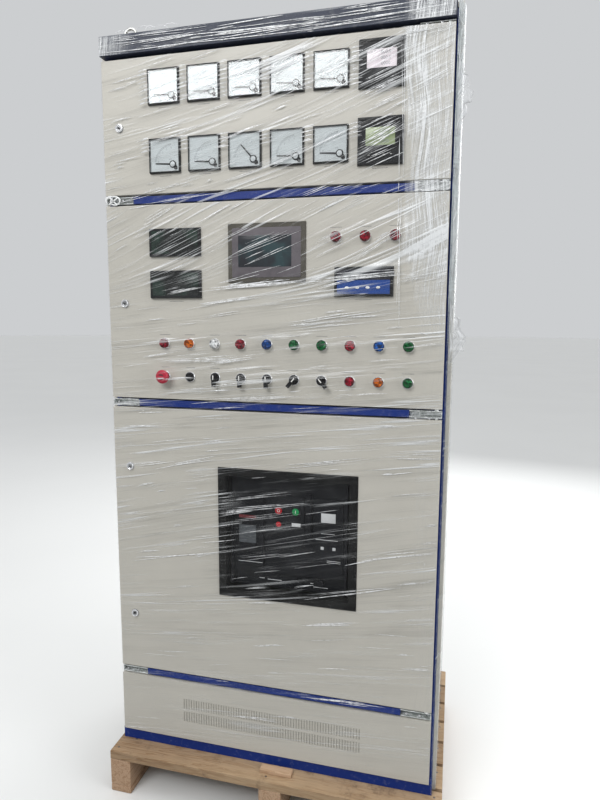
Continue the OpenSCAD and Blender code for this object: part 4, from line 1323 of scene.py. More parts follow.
@dataclass
class PointerMeters(Assembly):
    """The ten pointer meters: scales, needles, pivot covers and panes.

    Attributes:
        pivot: Place of the needle's pivot from the dial's middle, right and up.
        scale_r: Radius of the scale's arc.
        scale: Angles of the scale's two ends, from +X.
        steps: Steps of the scale, of which every fifth has a long tick and a figure.
        needle_l: Length of a needle, and tick_l of a long tick.
        resting: Angle of a needle at rest, from +X.
        raised: Number of the meter whose needle stands up.
        raised_to: Angle of that needle.
    """

    pivot: Pair = (25.0, -25.0)
    scale_r: float = 52.0
    scale: Pair = (96.0, 170.0)
    steps: int = 20
    needle_l: float = 53.0
    tick_l: float = 4.5
    resting: float = 176.0
    raised: int = 7
    raised_to: float = 132.0

    def scales(self, pivots: Sequence[Vector]) -> None:
        """Print the dials' arc, ticks and figures.

        Args:
            pivots: Where the needles turn.
        """
        piece = Piece("meter_scales", Body.UPPER, INK_PALE)
        pivots = [point + mm(0, -0.12) for point in pivots]
        for out, width in ((0, 0.35), (3.4, 0.6)):
            piece.add(Shape.arc(self.scale_r + out, width, *self.scale), pivots)
        low, high = self.scale
        for i in range(self.steps + 1):
            angle = math.radians(low + (high - low) * i / self.steps)
            length = self.tick_l if i % 5 == 0 else self.tick_l * 0.55
            local = (Matrix.Rotation(math.pi / 2 - angle, 4, "Y")
                     @ moved(mm(0, 0, self.scale_r + length / 2)))
            piece.add(Shape.block(0.5, 0.05, length),
                      [moved(point) @ local for point in pivots])
        for i, offset in enumerate(Shape.oval(*[self.scale_r - 6.5] * 2, high, low, 4)):
            piece.add(Shape.glyphs(str(i), 4.4), [point + offset for point in pivots])
        piece.add(Shape.block(9, 0.05, 1.0), [point + mm(-8, 0, 14) for point in pivots])
        piece.made()

    def needles(self, pivots: Sequence[Vector]) -> None:
        """Set the needles, the pivot covers and the zero screws.

        Args:
            pivots: Where the needles turn.
        """
        needle = Piece("meter_needles", Body.UPPER, KNOB, "knob_black")
        for i, point in enumerate(pivots):
            shape = Shape.block(self.needle_l, 0.4, 4.4)
            bmesh.ops.translate(shape, vec=mm(self.needle_l / 2), verts=shape.verts)
            tip = [vert for vert in shape.verts if vert.co.x > self.needle_l / 2 * MM]
            bmesh.ops.scale(shape, vec=(1, 1, 0.6), verts=tip)
            turn = Matrix.Rotation(
                -math.radians(self.raised_to if i == self.raised else self.resting), 4, "Y")
            needle.add(shape, [moved(point + mm(0, -1.6)) @ turn])
        needle.made()
        zero = [point + mm(8.5, -0.1, -9) for point in pivots]
        for name, finish, slot, profile, steps, places in (
                ("meter_pivot_rims", KNOB, "bezel_black",
                 ((10, 0.1), (10, 1.9), (9.2, 2.4), (0, 2.4)), 32, pivots),
                ("meter_pivot_covers", CARD, "dial_white",
                 ((7.2, 2.2), (7.2, 2.7), (6.6, 3), (2.4, 3.1), (2, 2.8), (0, 2.8)), 32, pivots),
                ("meter_zero_screws", KNOB, "knob_black",
                 ((5.6, 0.1), (5.6, 2.5), (4.8, 3.1), (0, 2.7)), 20, zero)):
            Piece(name, Body.UPPER, finish, slot).add(Shape.turned(profile, steps), places).made()

    def build(self) -> None:
        """Dress the meters and add their works and a clear pane before each dial."""
        self.dresser.dress(BEZEL, 0.5, "pointer_meters")
        self.dresser.dress(CARD, 0.0, "meter_dials")
        dials = solids("meter_dials")
        right, up = self.pivot
        pivots = [dial.face + mm(right, 0, up) for dial in dials]
        self.scales(pivots)
        self.needles(pivots)
        edge = dials[0].size.x / MM
        Piece("meter_panes", Body.UPPER, PANE).add(
            Shape.plate(edge, 0.9, edge, 1.0), [dial.face + mm(0, -3.4) for dial in dials]).made()


@dataclass
class PowerMeters(Assembly):
    """The two square power meters beside the pointer meters.

    Attributes:
        display_up: Height of a display over its meter's middle.
        recess: Depth of the display behind the meter's face.
    """

    display_w: float = 76.0
    display_h: float = 45.0
    display_up: float = 11.0
    recess: float = 2.0
    keys: int = 4
    key_pitch: float = 19.25

    def build(self) -> None:
        """Dress the meters and add their displays, figures and key marks."""
        self.dresser.dress(BEZEL, 0.5, "power_meters")
        ink = Piece("power_meter_figures", Body.UPPER, INK_PALE)
        marks = Piece("power_meter_key_marks", Body.UPPER, INK_WHITE)
        for i, (meter, tint) in enumerate(zip(solids("power_meters"), DISPLAY_TINTS)):
            face = meter.face + mm(0, 2)
            back = face + mm(0, self.recess, self.display_up)
            pane = Shape.plate(self.display_w, 0.8, self.display_h, 1.0, 0.2)
            # Each display gets a painted glow.
            painted_light = PaintedGlowDisplay(f"power_display_{i}", tint)
            Piece(f"power_meter_display_{i}", Body.UPPER, painted_light).add(
                pane, [back + mm(0, -0.4)]).made()
            for row, figures in enumerate(("000.0", "000.0", "0000")):
                ink.add(Shape.glyphs(figures, 8.5), [back + mm(10, -0.95, 13.5 - 13.5 * row)])
            for key in range(self.keys):
                x = (key - (self.keys - 1) / 2) * self.key_pitch
                marks.add(Shape.block(5, 0.2, 1.0), [face + mm(x, -1.05, -35)])
        ink.made()
        marks.made()


@dataclass
class MiddleInstruments(Assembly):
    """The indicators, the touch screen and the speed controller.

    Attributes:
        inner_w: Width of the touch screen's inner frame, and inner_h its height.
        glass_w: Width of its glass, and glass_h the glass's height.
        band_h: Height of the controller's blue band.
        key_pitch: Distance from one of the controller's keys to the next.
    """

    inner_w: float = 199.0
    inner_h: float = 135.0
    glass_w: float = 154.0
    glass_h: float = 86.0
    band_h: float = 40.0
    key_pitch: float = 28.0

    def build(self) -> None:
        """Dress the instruments and add their frames, glass, band and oval keys."""
        self.dresser.dress(BEZEL, 0.5, "digital_indicators", "speed_controller")
        self.dresser.dress(SCREEN_FRAME, 0.8, "touch_screen")
        self.dresser.dress(SMOKED, 0.3, "display_windows")
        face = node_box("touch_screen").face
        controller = node_box("speed_controller")
        front = controller.face + mm(0, 2)
        width = controller.size.x / MM - 18
        key = Shape.turned([(5.5, 0), (5.5, 0.7), (4.6, 1.0), (0, 1.1)], 24)
        bmesh.ops.scale(key, vec=(1.0, 1.0, 0.58), verts=key.verts)
        for name, finish, slot, shape, places in (
                ("screen_inner_frame", SCREEN_INNER, "screen_grey",
                 Shape.plate(self.inner_w, 1.4, self.inner_h, 3, 0.5), [face + mm(0, -0.4)]),
                ("screen_glass", LCD_DARK, "display_dark",
                 Shape.plate(self.glass_w, 0.6, self.glass_h, 1.5, 0.2), [face + mm(-4, -1.2, 4)]),
                ("controller_glass", CONTROLLER_GLASS, "display_dark",
                 Shape.plate(width, 0.7, 31, 1.0), [front + mm(0, 0, 19.5)]),
                ("controller_band", BLUE_BAND, "",
                 Shape.plate(width, 1.6, self.band_h, 1.0), [front + mm(0, -0.6, -16.5)]),
                ("controller_keys", INK_WHITE, "", key,
                 [front + mm(self.key_pitch * i - 44, -1.4, -16) for i in range(4)])):
            Piece(name, Body.MIDDLE, finish, slot).add(shape, places).made()


@dataclass
class PanelDevices(Assembly):
    """The lamps, the buttons and the selectors.

    Attributes:
        collar_d: Diameter of a device's ring.
        ring_w: Width of the bright part of a ring.
        lever_turn: Turn of a lever that points aside, in degrees.
        lens_grown: Share by which a lens is wider than its CAD solid.
        lens_low: Share of that width in the lower row.
    """

    collar_d: float = 30.0
    ring_w: float = 1.4
    lever_turn: float = 40.0
    lens_grown: float = 1.13
    lens_low: float = 0.91

    def rings(self, bodies: Sequence[Box]) -> None:
        """Set a bright ring on each collar.

        Args:
            bodies: Boxes of the device bodies.
        """
        outer = self.collar_d / 2
        inner = outer - self.ring_w
        ring = Shape.turned([(outer - 0.2, -3.9), (outer + 0.5, -3.4), (outer + 0.4, -0.6),
                             (outer - 0.6, 0.5), (inner + 0.4, 0.5), (inner, -0.2),
                             (inner - 0.3, -1.4)], 40)
        Piece("device_rings", Body.MIDDLE, CHROME, "lock_metal").add(
            ring, [body.face for body in bodies]).made()

    def lenses(self) -> None:
        """Set a ribbed lens over each lamp in place of its plain solid."""
        for node, finish in LENSES.items():
            boxes = solids(node)
            radius = boxes[0].size.x / 2 / MM * self.lens_grown
            height = boxes[0].size.y / MM
            profile = [(0.86, 0.0), (0.98, 0.05)]
            for i in range(3):
                low = 0.12 + 0.16 * i
                profile += [(1.0 - 0.02 * i, low), (0.975 - 0.02 * i, low + 0.08)]
            profile += [(0.90, 0.72), (0.80, 0.86), (0.62, 0.94), (0.3, 0.985), (0.0, 1.0)]
            lens = Shape.turned([(radius * share, height * up) for share, up in profile], 36)
            places = []
            for box in boxes:
                wide = self.lens_low if box.centre.z < LOW_ROW else 1
                places.append(moved((box.centre.x, box.hi.y, box.centre.z))
                              @ Matrix.Diagonal((wide, 1, wide, 1)))
            slot = {"white_lamp": "white_lens"}.get(node, node.replace("lamps", "lens"))
            Piece(f"{node}_ribbed", Body.MIDDLE, finish, slot).add(lens, places).made(
                replaces=[node])

    def levers(self, bodies: Sequence[Box]) -> None:
        """Set a white line on each selector's lever, which turns about a device body.

        Args:
            bodies: Boxes of the device bodies.
        """
        line = Piece("selector_lines", Body.MIDDLE, INK_WHITE)
        for box in solids("selector_switches"):
            pivot = min((body.centre for body in bodies),
                        key=lambda centre: (centre - box.centre).length)
            lean = 0.0
            if box.size.x > self.collar_d * 0.8 * MM:
                lean = math.copysign(self.lever_turn, pivot.x - box.centre.x)
            turn = Matrix.Rotation(math.radians(lean), 4, "Y") @ moved(mm(0, 0, 1.5))
            line.add(Shape.block(3.2, 0.4, 13, 0.15),
                     [moved((pivot.x, box.lo.y, pivot.z)) @ turn])
        line.made()

    def build(self) -> None:
        """Dress the devices and add their rings, lenses, lines and the stop's two strokes."""
        for node, finish in LENSES.items():
            self.dresser.dress(finish, 0.0, node)
        self.dresser.dress(KNOB, 0.0, "device_bodies", "push_button", "selector_switches")
        self.dresser.dress(STOP_RED, 0.0, "emergency_stop")
        bodies = solids("device_bodies")
        self.rings(bodies)
        self.lenses()
        self.levers(bodies)
        mark = Piece("stop_marks", Body.MIDDLE, INK_BLACK)
        for start in (25, 205):
            mark.add(Shape.arc(6.5, 3.2, start, start + 120, 12),
                     [node_box("emergency_stop").face + mm(0, -0.15)])
        mark.made()


@dataclass
class BreakerFace(Assembly):
    """The air circuit breaker behind the lower door's surround."""

    def at(self, x: float, y: float, z: float) -> Vector:
        """Return a place from the breaker's middle and the door faces, in millimetres."""
        middle = node_box("breaker_surround").centre
        return Vector((middle.x, DOOR_FACE, middle.z)) + mm(x, y, z)

    def part(self, name: str, finish: Finish, shape: Mesh,
             place: tuple[float, float, float], slot: str = "", recalc: bool = False) -> None:
        """Set one part on the breaker's front.

        Args:
            name: The piece's name.
            finish: Its finish.
            shape: Its shape.
            place: Where it sits, from the breaker's middle and the door faces.
            slot: Material slot of the record, where it has one; not used.
            recalc: Whether its normals are worked out again.
        """
        Piece(name, Body.CABINET, finish, slot).add(shape, [self.at(*place)]).made(recalc=recalc)

    def build(self) -> None:
        """Dress the breaker and add its display, band, labels and coloured caps."""
        self.dresser.dress(SURROUND, 0.8, "breaker_surround")
        self.dresser.dress(BREAKER, 0.8, "breaker_body")
        self.dresser.dress(BREAKER, 0.4, "breaker_front")
        self.part("trip_display", TRIP_GLASS, Shape.plate(53, 1.0, 55, 1), (-126, 21.6, -6),
                  "display_dark")
        self.part("trip_band", RED_BAND, Shape.plate(53, 0.8, 9.4, 0.6), (-126, 21.6, 48))
        pale = Piece("breaker_labels", Body.CABINET, PALE_LABEL)
        for x, y, z, width, height in BREAKER_LABELS:
            pale.add(Shape.block(width, 0.4, height, 0.1), [self.at(x, y, z)])
        pale.made()
        cap = ((0.0, 1.6), (8.0, 1.5), (10.0, 1.1), (10.6, 0.3), (10.6, -0.4))
        for name, finish, x, glyph in (("off_cap", OFF_RED, -28, "O"),
                                       ("on_cap", ON_GREEN, 24, "I")):
            self.part(name, finish, Shape.turned(cap), (x, 18, 75), recalc=True)
            self.part(f"{name}_mark", INK_WHITE, Shape.glyphs(glyph, 9), (x, 16.2, 75))
        small = Shape.turned([(radius * 0.8, height) for radius, height in cap])
        self.part("reset_cap", OFF_RED, small, (-28, 19, 33), recalc=True)


@dataclass
class Pallet(Assembly):
    """The pine pallet with its nails, and the gap between two of its boards."""

    nail_d: float = 7.0
    board_gap: float = 12.0

    def build(self) -> None:
        """Dress the boards, and drive two nails through each board into each bearer."""
        deck = node_box("pallet_deck")
        boards = solids("pallet_deck")
        pitch = (deck.size.y + self.board_gap * MM) / len(boards)
        start = deck.lo.y - self.board_gap / 2 * MM
        for name, colour, grain, apart, first, softness, nodes in (
                ("deck_pine", (156, 131, 104), Grain.ALONG_X, pitch, start, 2.0,
                 ("pallet_deck",)),
                ("offcut_pine", (186, 154, 128), Grain.ALONG_X, 1.0, deck.lo.y - 0.5, 2.0,
                 ("stop_block",)),
                ("bearer_pine", (182, 152, 126), Grain.ALONG_Y, 0.3, deck.lo.x - 20 * MM, 3.0,
                 ("pallet_bearers", "pallet_skids"))):
            wood = SawnPine(name, screen(*colour), grain, apart, first)
            self.dresser.dress(wood, softness, *nodes)
        radius = self.nail_d / 2
        head = Shape.turned([(radius, -0.3), (radius, 0.25), (radius * 0.8, 0.5), (0, 0.45)], 12)
        draw = random.Random(11)
        places = []
        for board in boards:
            for bearer in solids("pallet_bearers"):
                for side in (-1, 1):
                    x = bearer.centre.x + side * draw.uniform(12, 22) * MM
                    y = board.centre.y + side * draw.uniform(18, 30) * MM
                    places.append(moved((x, y, board.hi.z)) @ UPWARDS)
        Piece("pallet_nails", Body.CABINET, NAIL).add(head, places).made()


# Steps in which a sheet is pulled over what it covers, and in which a crease is followed.
PULL_STEPS, FOLLOW_STEPS = 220, 14
# Tries for a standing crease on each metre of a sheet's height.
STANDING_TRIES = 1500
# Length of the film by the right front corner that is gathered, in metres.
GATHERED = 0.06


def evenly(value: float) -> Field:
    """Return a field that has one value everywhere."""
    return lambda along, up: np.full_like(along, value)


def over_front(along: Table, up: Table, height: Table) -> Table:
    """Lay a sheet over the cabinet's front."""
    return np.stack([along, DOOR_FACE - height, up], axis=-1)


@dataclass
class Bump:
    """A raised thing under the film: its corners along and up, and its height over the face."""

    lo: Pair
    hi: Pair
    height: float


@dataclass
class FilmPanel:
    """One sheet of film over a flat stretch of the cabinet.

    The sheet's own directions are along the pull, level, and up. It is a grid that is
    pulled over what stands out under it.

    Attributes:
        body: Body that it rides on.
        start: Lowest corner, along and up.
        end: Highest corner.
        slope: Slope of the creases at a place.
        load: Share of creases at a place.
        upright: Share of standing creases at a place.
        rests_on: Name of what it lies on, not used.
        scatter: Number of short creases scattered over it.
        bumps: Raised things under it.
        lift: Distance of the film from the door faces.
        cell: Edge of a grid cell.
        lay: Turns a place on the sheet into a point: along, up and height.
    """

    name: str
    body: Body
    start: Pair
    end: Pair
    slope: Field
    load: Field
    upright: Field
    rests_on: str
    scatter: int = 0
    bumps: Sequence[Bump] = ()
    lift: float = 1.2 * MM
    cell: float = 6.0 * MM
    lay: Lay = over_front
    finish: Finish = FILM

    def grid(self) -> tuple[Table, Table]:
        """Lay out the sheet's grid.

        Returns:
            The places along and up, as two tables.
        """
        across = max(2, round((self.end[0] - self.start[0]) / (1.6 * self.cell)))
        up = max(2, round((self.end[1] - self.start[1]) / self.cell))
        return np.meshgrid(np.linspace(self.start[0], self.end[0], across + 1),
                           np.linspace(self.start[1], self.end[1], up + 1), indexing="ij")

    def pulled(self, along: Table, up: Table) -> Table:
        """Pull the film over the bumps.

        Args:
            along, up: Places along the pull, and heights.

        Returns:
            The film's height over the face at each place.
        """
        floor = np.full(along.shape, self.lift)
        for bump in self.bumps:
            under = ((along > bump.lo[0] - self.cell) & (along < bump.hi[0] + self.cell)
                     & (up > bump.lo[1] - 0.6 * self.cell) & (up < bump.hi[1] + 0.6 * self.cell))
            floor[under] = np.maximum(floor[under], bump.height + 0.7 * MM)
        film = floor.copy()
        for _ in range(PULL_STEPS if self.bumps else 0):
            edged = np.pad(film, 1, mode="edge")
            level = (edged[2:, 1:-1] + edged[:-2, 1:-1]) * 0.38
            rise = (edged[1:-1, 2:] + edged[1:-1, :-2]) * 0.12
            film = np.maximum(floor, level + rise - 0.010 * (film - self.lift))
            film[[0, -1]] = floor[[0, -1]]
        return film

    def straightened(self, along: Table, up: Table) -> Table:
        """Follow the creases back to the sheet's middle.

        Args:
            along, up: Places along the pull, and heights.

        Returns:
            The height at which each place's crease crosses the middle.
        """
        height, place = up.copy(), along.copy()
        stride = ((self.start[0] + self.end[0]) / 2 - along) / FOLLOW_STEPS
        for _ in range(FOLLOW_STEPS):
            height = height + stride * self.slope(place, height)
            place = place + stride
        return height

    def ripples(self, along: Table, across: Table) -> Table:
        """Return soft folds that run with the pull, in metres."""
        folds = (np.sin(across * 210 + 2.1 * np.sin(along * 5.3)) * 0.5
                 + np.sin(across * 97 + 1.7 * np.sin(along * 3.1 + 2)) * 0.8
                 + np.sin(across * 333 + 3.0 * np.sin(along * 7.7 + 1)) * 0.3)
        return np.abs(folds) * 0.45 * MM

    def build(self) -> Thing:
        """Build the sheet.

        Returns:
            The sheet's object.
        """
        along, up = self.grid()
        across = self.straightened(along, up)
        height = self.pulled(along, up) + self.ripples(along, across)
        self.surface = (along[:, 0], up[0, :], height)
        points = self.lay(along, up, height)
        columns, rows = (count - 1 for count in along.shape)
        mesh = bmesh.new()
        bmesh.ops.create_grid(mesh, x_segments=columns, y_segments=rows, size=0.5)
        order = np.array([(round((vert.co.x + 0.5) * columns), round((vert.co.y + 0.5) * rows))
                          for vert in mesh.verts])
        for vert, (i, j) in zip(mesh.verts, order):
            vert.co = points[i, j]
        data = bpy.data.meshes.new(self.name)
        mesh.to_mesh(data)
        mesh.free()

        def listed(table: Table) -> Table:
            """Return a table's values in the order of the mesh's points."""
            return table[order[:, 0], order[:, 1]].astype(np.float32)

        corners = np.zeros(len(data.loops), dtype=np.int32)
        data.loops.foreach_get("vertex_index", corners)
        for name, *pair in (("UVMap", along, across),
                            ("Standing", up, along + 0.006 * np.sin(up * 21))):
            places = np.stack([listed(table) for table in pair], axis=-1)
            data.uv_layers.new(name=name).data.foreach_set("uv", places[corners].ravel())
        for name, share in (("load", self.load), ("upright", self.upright)):
            layer = data.attributes.new(name, "FLOAT", "POINT")
            layer.data.foreach_set("value", listed(np.broadcast_to(share(along, up), along.shape)))
        data.polygons.foreach_set("use_smooth", [True] * len(data.polygons))
        data.materials.append(self.finish.material())
        piece = shown(self.name, data)
        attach(piece, self.body.value)
        return piece

    def declare(self, film: Thing, creases: Sequence[Thing] = ()) -> None:
        """Args:
            film: Its object, not used.
            creases: Objects of the creases on it, not used.
        """
        flat = (self.end[0] - self.start[0], self.end[1] - self.start[1])
        LOG.info("%s: film, %.2f by %.2f m", self.name, *flat)

    def point(self, along: float, up: float, over: float) -> Vector | None:
        """Return a point over the film's front, or None beside it.

        Args:
            along, up: Place along the pull, and height.
            over: Distance over the film.

        Returns:
            The point, where the sheet has one.
        """
        line, column, height = self.surface
        if not (line[0] < along < line[-1] and column[0] < up < column[-1]):
            return None
        i = int(np.searchsorted(line, along)) - 1
        j = int(np.searchsorted(column, up)) - 1
        return Vector((along, DOOR_FACE - float(height[i:i + 2, j:j + 2].max()) - over, up))


@dataclass(frozen=True)
class Bundle:
    """A bundle of tight creases on the front, in millimetres from the cabinet's foot.

    Attributes:
        start: Left end, along and up.
        end: Right end.
        count: Number of creases.
        spread: Distance over which the creases lie.
        width: Width of the widest crease.
    """

    start: Pair
    end: Pair
    count: int = 3
    spread: float = 9.0
    width: float = 2.4

    def creases(self, draw: random.Random) -> Iterable[tuple[list[Pair], float]]:
        """Give each crease of the bundle.

        Args:
            draw: Source of how they differ.

        Returns:
            The places along each crease, in metres, and its width.
        """
        length = math.dist(self.start, self.end)
        ahead = Vector((self.end[0] - self.start[0], self.end[1] - self.start[1])) / length
        side = Vector((-ahead.y, ahead.x))
        for i in range(self.count):
            off = ((i + 0.5) / self.count - 0.5) * self.spread + draw.gauss(0, self.spread * 0.08)
            first, last = (draw.uniform(0, 0.35), draw.uniform(0.65, 1)) if i else (0, 1)
            bend, turn = draw.uniform(-0.012, 0.012) * length, draw.gauss(0, 0.018)
            steps = max(4, round(length * (last - first) / 9))
            places = []
            for k in range(steps + 1):
                run = length * (first + (last - first) * k / steps)
                aside = off + bend * math.sin(math.pi * run / length) + turn * (run - length / 2)
                place = Vector(self.start) + ahead * run + side * aside
                places.append((place.x * MM, FOOT + place.y * MM))
            yield places, self.width * draw.uniform(0.6, 1.35) * MM


# Left end along and up, right end, count, and where they aren't the usual the spread and width.
CREASES = tuple(Bundle((x, z), (x_end, z_end), *rest) for x, z, x_end, z_end, *rest in (
    (-438, 2032, -375, 2044, 2), (-306, 1880, -143, 1926, 3, 8), (235, 1905, 371, 1952, 5, 16),
    (237, 1816, 363, 1886, 6, 26, 3), (-467, 1713, -306, 1750, 4, 9, 2.6),
    (-389, 1648, -277, 1705, 5, 18), (-431, 1702, -85, 1733, 3, 6), (60, 1700, 190, 1742, 3, 12),
    (-71, 1529, 90, 1592, 3, 8, 3), (-118, 1554, 90, 1632, 5, 24), (217, 1526, 358, 1615, 4, 18),
    (-209, 1462, 110, 1486, 9, 11, 3), (60, 1478, 412, 1508, 8, 14, 3),
    (-206, 1419, -25, 1443, 4, 10), (-206, 1382, -84, 1399, 3, 6), (91, 1377, 311, 1402, 4, 9),
    (189, 1383, 335, 1394, 3, 7), (-336, 1255, -70, 1272, 5, 8, 3),
    (-193, 1250, -25, 1273, 4, 8, 3), (-243, 1136, 92, 1172, 4, 12), (46, 962, 298, 999, 4, 12),
    (-165, 839, 64, 881, 3, 8, 1.6),
    (-153, 809, 126, 859, 4, 12, 2), (-134, 783, 94, 824, 4, 10, 1.6), (104, 570, 384, 632, 4, 12),
    (95, 482, 244, 503, 3, 8), (-91, 666, 94, 707, 3, 10, 1.5), (-458, 626, -154, 681, 3, 10),
    (-379, 922, -166, 973, 3, 14), (270, 705, 489, 748, 4, 16), (95, 250, 350, 266, 3, 6),
    (-60, 392, 48, 412, 3, 8), (-150, 148, 34, 158, 3, 8, 1.8), (-500, 2139, -120, 2146, 6, 40, 3),
    (-300, 2136, 200, 2150, 7, 40, 3), (60, 2136, 480, 2152, 7, 42, 3),
    (362, 1352, 352, 2090, 3, 6, 2.2), (345, 2082, 480, 2098, 4, 16),
))
METER_GAPS = tuple(Bundle((x, height + lift - 3), (x + 40, height + lift + 3), 2, 5, 2.6)
                   for x in (-386, *range(-268, 120, 119), 214)
                   for height in (2022, 1837) for lift in range(-42, 48, 11)
                   if height > 2000 or lift > 8)
METER_BANDS = tuple(Bundle((x, z), (x + 118, z + 44), count, spread, 2.4)
                    for x, z, count, spread in ((241, 1962, 7, 44), (238, 2034, 6, 34),
                                                (241, 1784, 7, 50), (240, 1842, 7, 48)))


@dataclass
class FilmWrap:
    """The stretch film round the cabinet, whose creases differ by its draw."""

    draw: random.Random

    @staticmethod
    def bumps(*nodes: str) -> list[Bump]:
        """Return what stands out of the front, from these nodes' solids."""
        return [Bump((box.lo.x, box.lo.z), (box.hi.x, box.hi.z), DOOR_FACE - box.lo.y)
                for node in nodes for box in solids(node)]

    @staticmethod
    def right_strip(along: Table, up: Table) -> Table:
        """Gather the film near the right edge, more of it higher up.

        Args:
            along, up: Places on the sheet in metres.

        Returns:
            The share of standing creases.
        """
        edge = np.interp(up - FOOT, (1.353, 1.586, 1.761, 1.932, 2.088),
                         (0.416, 0.360, 0.371, 0.361, 0.352))
        near = np.clip((along - edge - 0.003 * np.sin(up * 91)) / 0.009, 0, 1)
        high = 0.06 + 0.94 * np.clip((up - 1.42) / 0.30, 0, 1)
        return near * high * (0.75 + 0.25 * np.sin(along * 61 + up * 7))

    @staticmethod
    def crumpled_ends(along: Table, up: Table) -> Table:
        """Return the share of standing creases at the header's two ends."""
        return 0.7 * np.clip((-0.40 - along) / 0.1, 0, 1) + np.clip((along - 0.36) / 0.03, 0, 1)

    @staticmethod
    def calm(along: Table, up: Table) -> Table:
        """Calm the lower door's film beside and over the breaker.

        Args:
            along, up: Places on the sheet in metres.

        Returns:
            The share of creases.
        """
        beside = np.clip((-0.18 - along) / 0.04, 0, 1)
        level = np.clip(1 - np.abs(up - 0.76) / 0.10, 0, 1)
        over = np.clip((0.19 - np.abs(along - 0.049)) / 0.03, 0, 1)
        over = over * np.clip((0.20 - np.abs(up - 0.884)) / 0.03, 0, 1)
        share = (0.45 + 0.55 * np.clip((up - 0.45) / 0.3, 0, 1)) * (1 - 0.5 * over)
        return share * (1 - 0.85 * beside * np.sqrt(level))

    def panels(self) -> Iterable[FilmPanel]:
        """Lay out the front's sheets.

        Returns:
            A sheet for each door, the header, each seam and the vent panel.
        """
        for body, nodes, load, scatter, slope in (
                (Body.UPPER, ("pointer_meters", "power_meters", "upper_door_lock"), evenly(1.0), 85,
                 lambda x, z: 0.22 + 0.32 * np.clip(x + 0.25, -0.2, 0.6)),
                (Body.MIDDLE, ("digital_indicators", "touch_screen", "speed_controller",
                               "device_bodies", *LENSES, "emergency_stop", "push_button",
                               "selector_switches", "middle_door_lock"), evenly(1.0), 100,
                 lambda x, z: 0.11 + 0.33 * np.clip((z - 1.57 - 0.03 * x) / 0.12, 0, 1)),
                (Body.LOWER, ("breaker_surround", "lower_door_locks"), self.calm, 95,
                 lambda x, z: 0.17 + 0.06 * np.sin(z * 9))):
            box = node_box(body.value)
            yield FilmPanel(f"film_{body.value}", body, (box.lo.x + 1 * MM, box.lo.z + 1 * MM),
                            (box.hi.x - 1 * MM, box.hi.z - 1 * MM), slope, load,
                            self.right_strip, body.value, scatter, self.bumps(*nodes))
        upper, middle, door, header, vent = map(node_box, (
            "upper_door", "middle_door", "lower_door", "header", "vent_panel"))
        for name, low, high, node, load, upright, scatter, slope, lift in (
                ("header", header.lo.z + 1 * MM, header.hi.z - 2 * MM, "header", 0.9,
                 self.crumpled_ends, 30, 0.03, DOOR_FACE - header.lo.y),
                ("upper_seam", middle.hi.z + 1 * MM, upper.lo.z - 1 * MM, "hinge_brackets", 0.8,
                 self.right_strip, 8, 0.30, 0.0),
                ("middle_seam", door.hi.z + 1 * MM, middle.lo.z - 1 * MM, "hinge_brackets", 0.6,
                 evenly(0.0), 5, 0.12, 0.0),
                ("lower_seam", vent.hi.z + 1 * MM, door.lo.z - 1 * MM, "hinge_brackets", 0.7,
                 evenly(0.0), 5, 0.10, 0.0),
                ("vent_panel", vent.lo.z + 1 * MM, vent.hi.z - 1 * MM, "vent_panel", 0.4,
                 evenly(0.0), 9, 0.08, 0.0)):
            yield FilmPanel(f"film_{name}", Body.CABINET, (door.lo.x + 1 * MM, low),
                            (door.hi.x - 1 * MM, high), evenly(slope), evenly(load), upright,
                            node, scatter, lift=lift + 1.2 * MM)

    def anywhere(self, panel: FilmPanel) -> tuple[np.float64, np.float64]:
        """Return a random place on a sheet."""
        return tuple(np.float64(self.draw.uniform(*ends)) for ends in zip(panel.start, panel.end))

    def short(self, place: Sequence[float], run: float, rise: float, *rest: float) -> Bundle:
        """Return a bundle from a place in metres over a run and a rise in millimetres."""
        x, z = place[0] / MM, (place[1] - FOOT) / MM
        return Bundle((x, z), (x + run, z + rise), *rest)

    def scattered(self, panel: FilmPanel) -> Iterable[Bundle]:
        """Strew short creases over a sheet, along its pull.

        Args:
            panel: The sheet.

        Returns:
            The creases.
        """
        for _ in range(panel.scatter):
            place = self.anywhere(panel)
            reach = self.draw.uniform(30, 130)
            count, width = self.draw.choice((1, 1, 2, 3)), self.draw.uniform(1.1, 2.6)
            if self.draw.random() <= float(panel.load(*place)):
                rise = float(panel.slope(*place)) + self.draw.gauss(0, 0.03)
                yield self.short(place, reach, reach * rise, count, 5, width)

    def standing(self, panel: FilmPanel) -> Iterable[Bundle]:
        """Set short upright creases where a sheet is gathered.

        Args:
            panel: The sheet.

        Returns:
            The creases.
        """
        for _ in range(round((panel.end[1] - panel.start[1]) * STANDING_TRIES)):
            place = self.anywhere(panel)
            reach, width = self.draw.uniform(14, 60), self.draw.uniform(0.9, 1.9)
            lean = self.draw.gauss(0, 0.14)
            if self.draw.random() < 0.45:
                reach, lean = self.draw.uniform(5, 16), self.draw.gauss(0, 2.0)
            if self.draw.random() <= float(panel.upright(*place)):
                yield self.short(place, reach * lean, reach, 1, 2, width)

    def creases(self, panel: FilmPanel) -> Thing:
        """Lay creases on a sheet.

        Args:
            panel: The sheet, which is built.

        Returns:
            The piece of the creases.
        """
        piece = Piece(f"{panel.name}_creases", panel.body, CREASE)
        for bundle in (*CREASES, *METER_GAPS, *METER_BANDS, *self.scattered(panel),
                       *self.standing(panel)):
            for places, width in bundle.creases(self.draw):
                over = self.draw.uniform(0.4, 0.9) * MM
                line = [point for point in (panel.point(x, z, over) for x, z in places) if point]
                if len(line) > 2:
                    piece.add(Shape.ribbon(line, width))
        return piece.made(180)

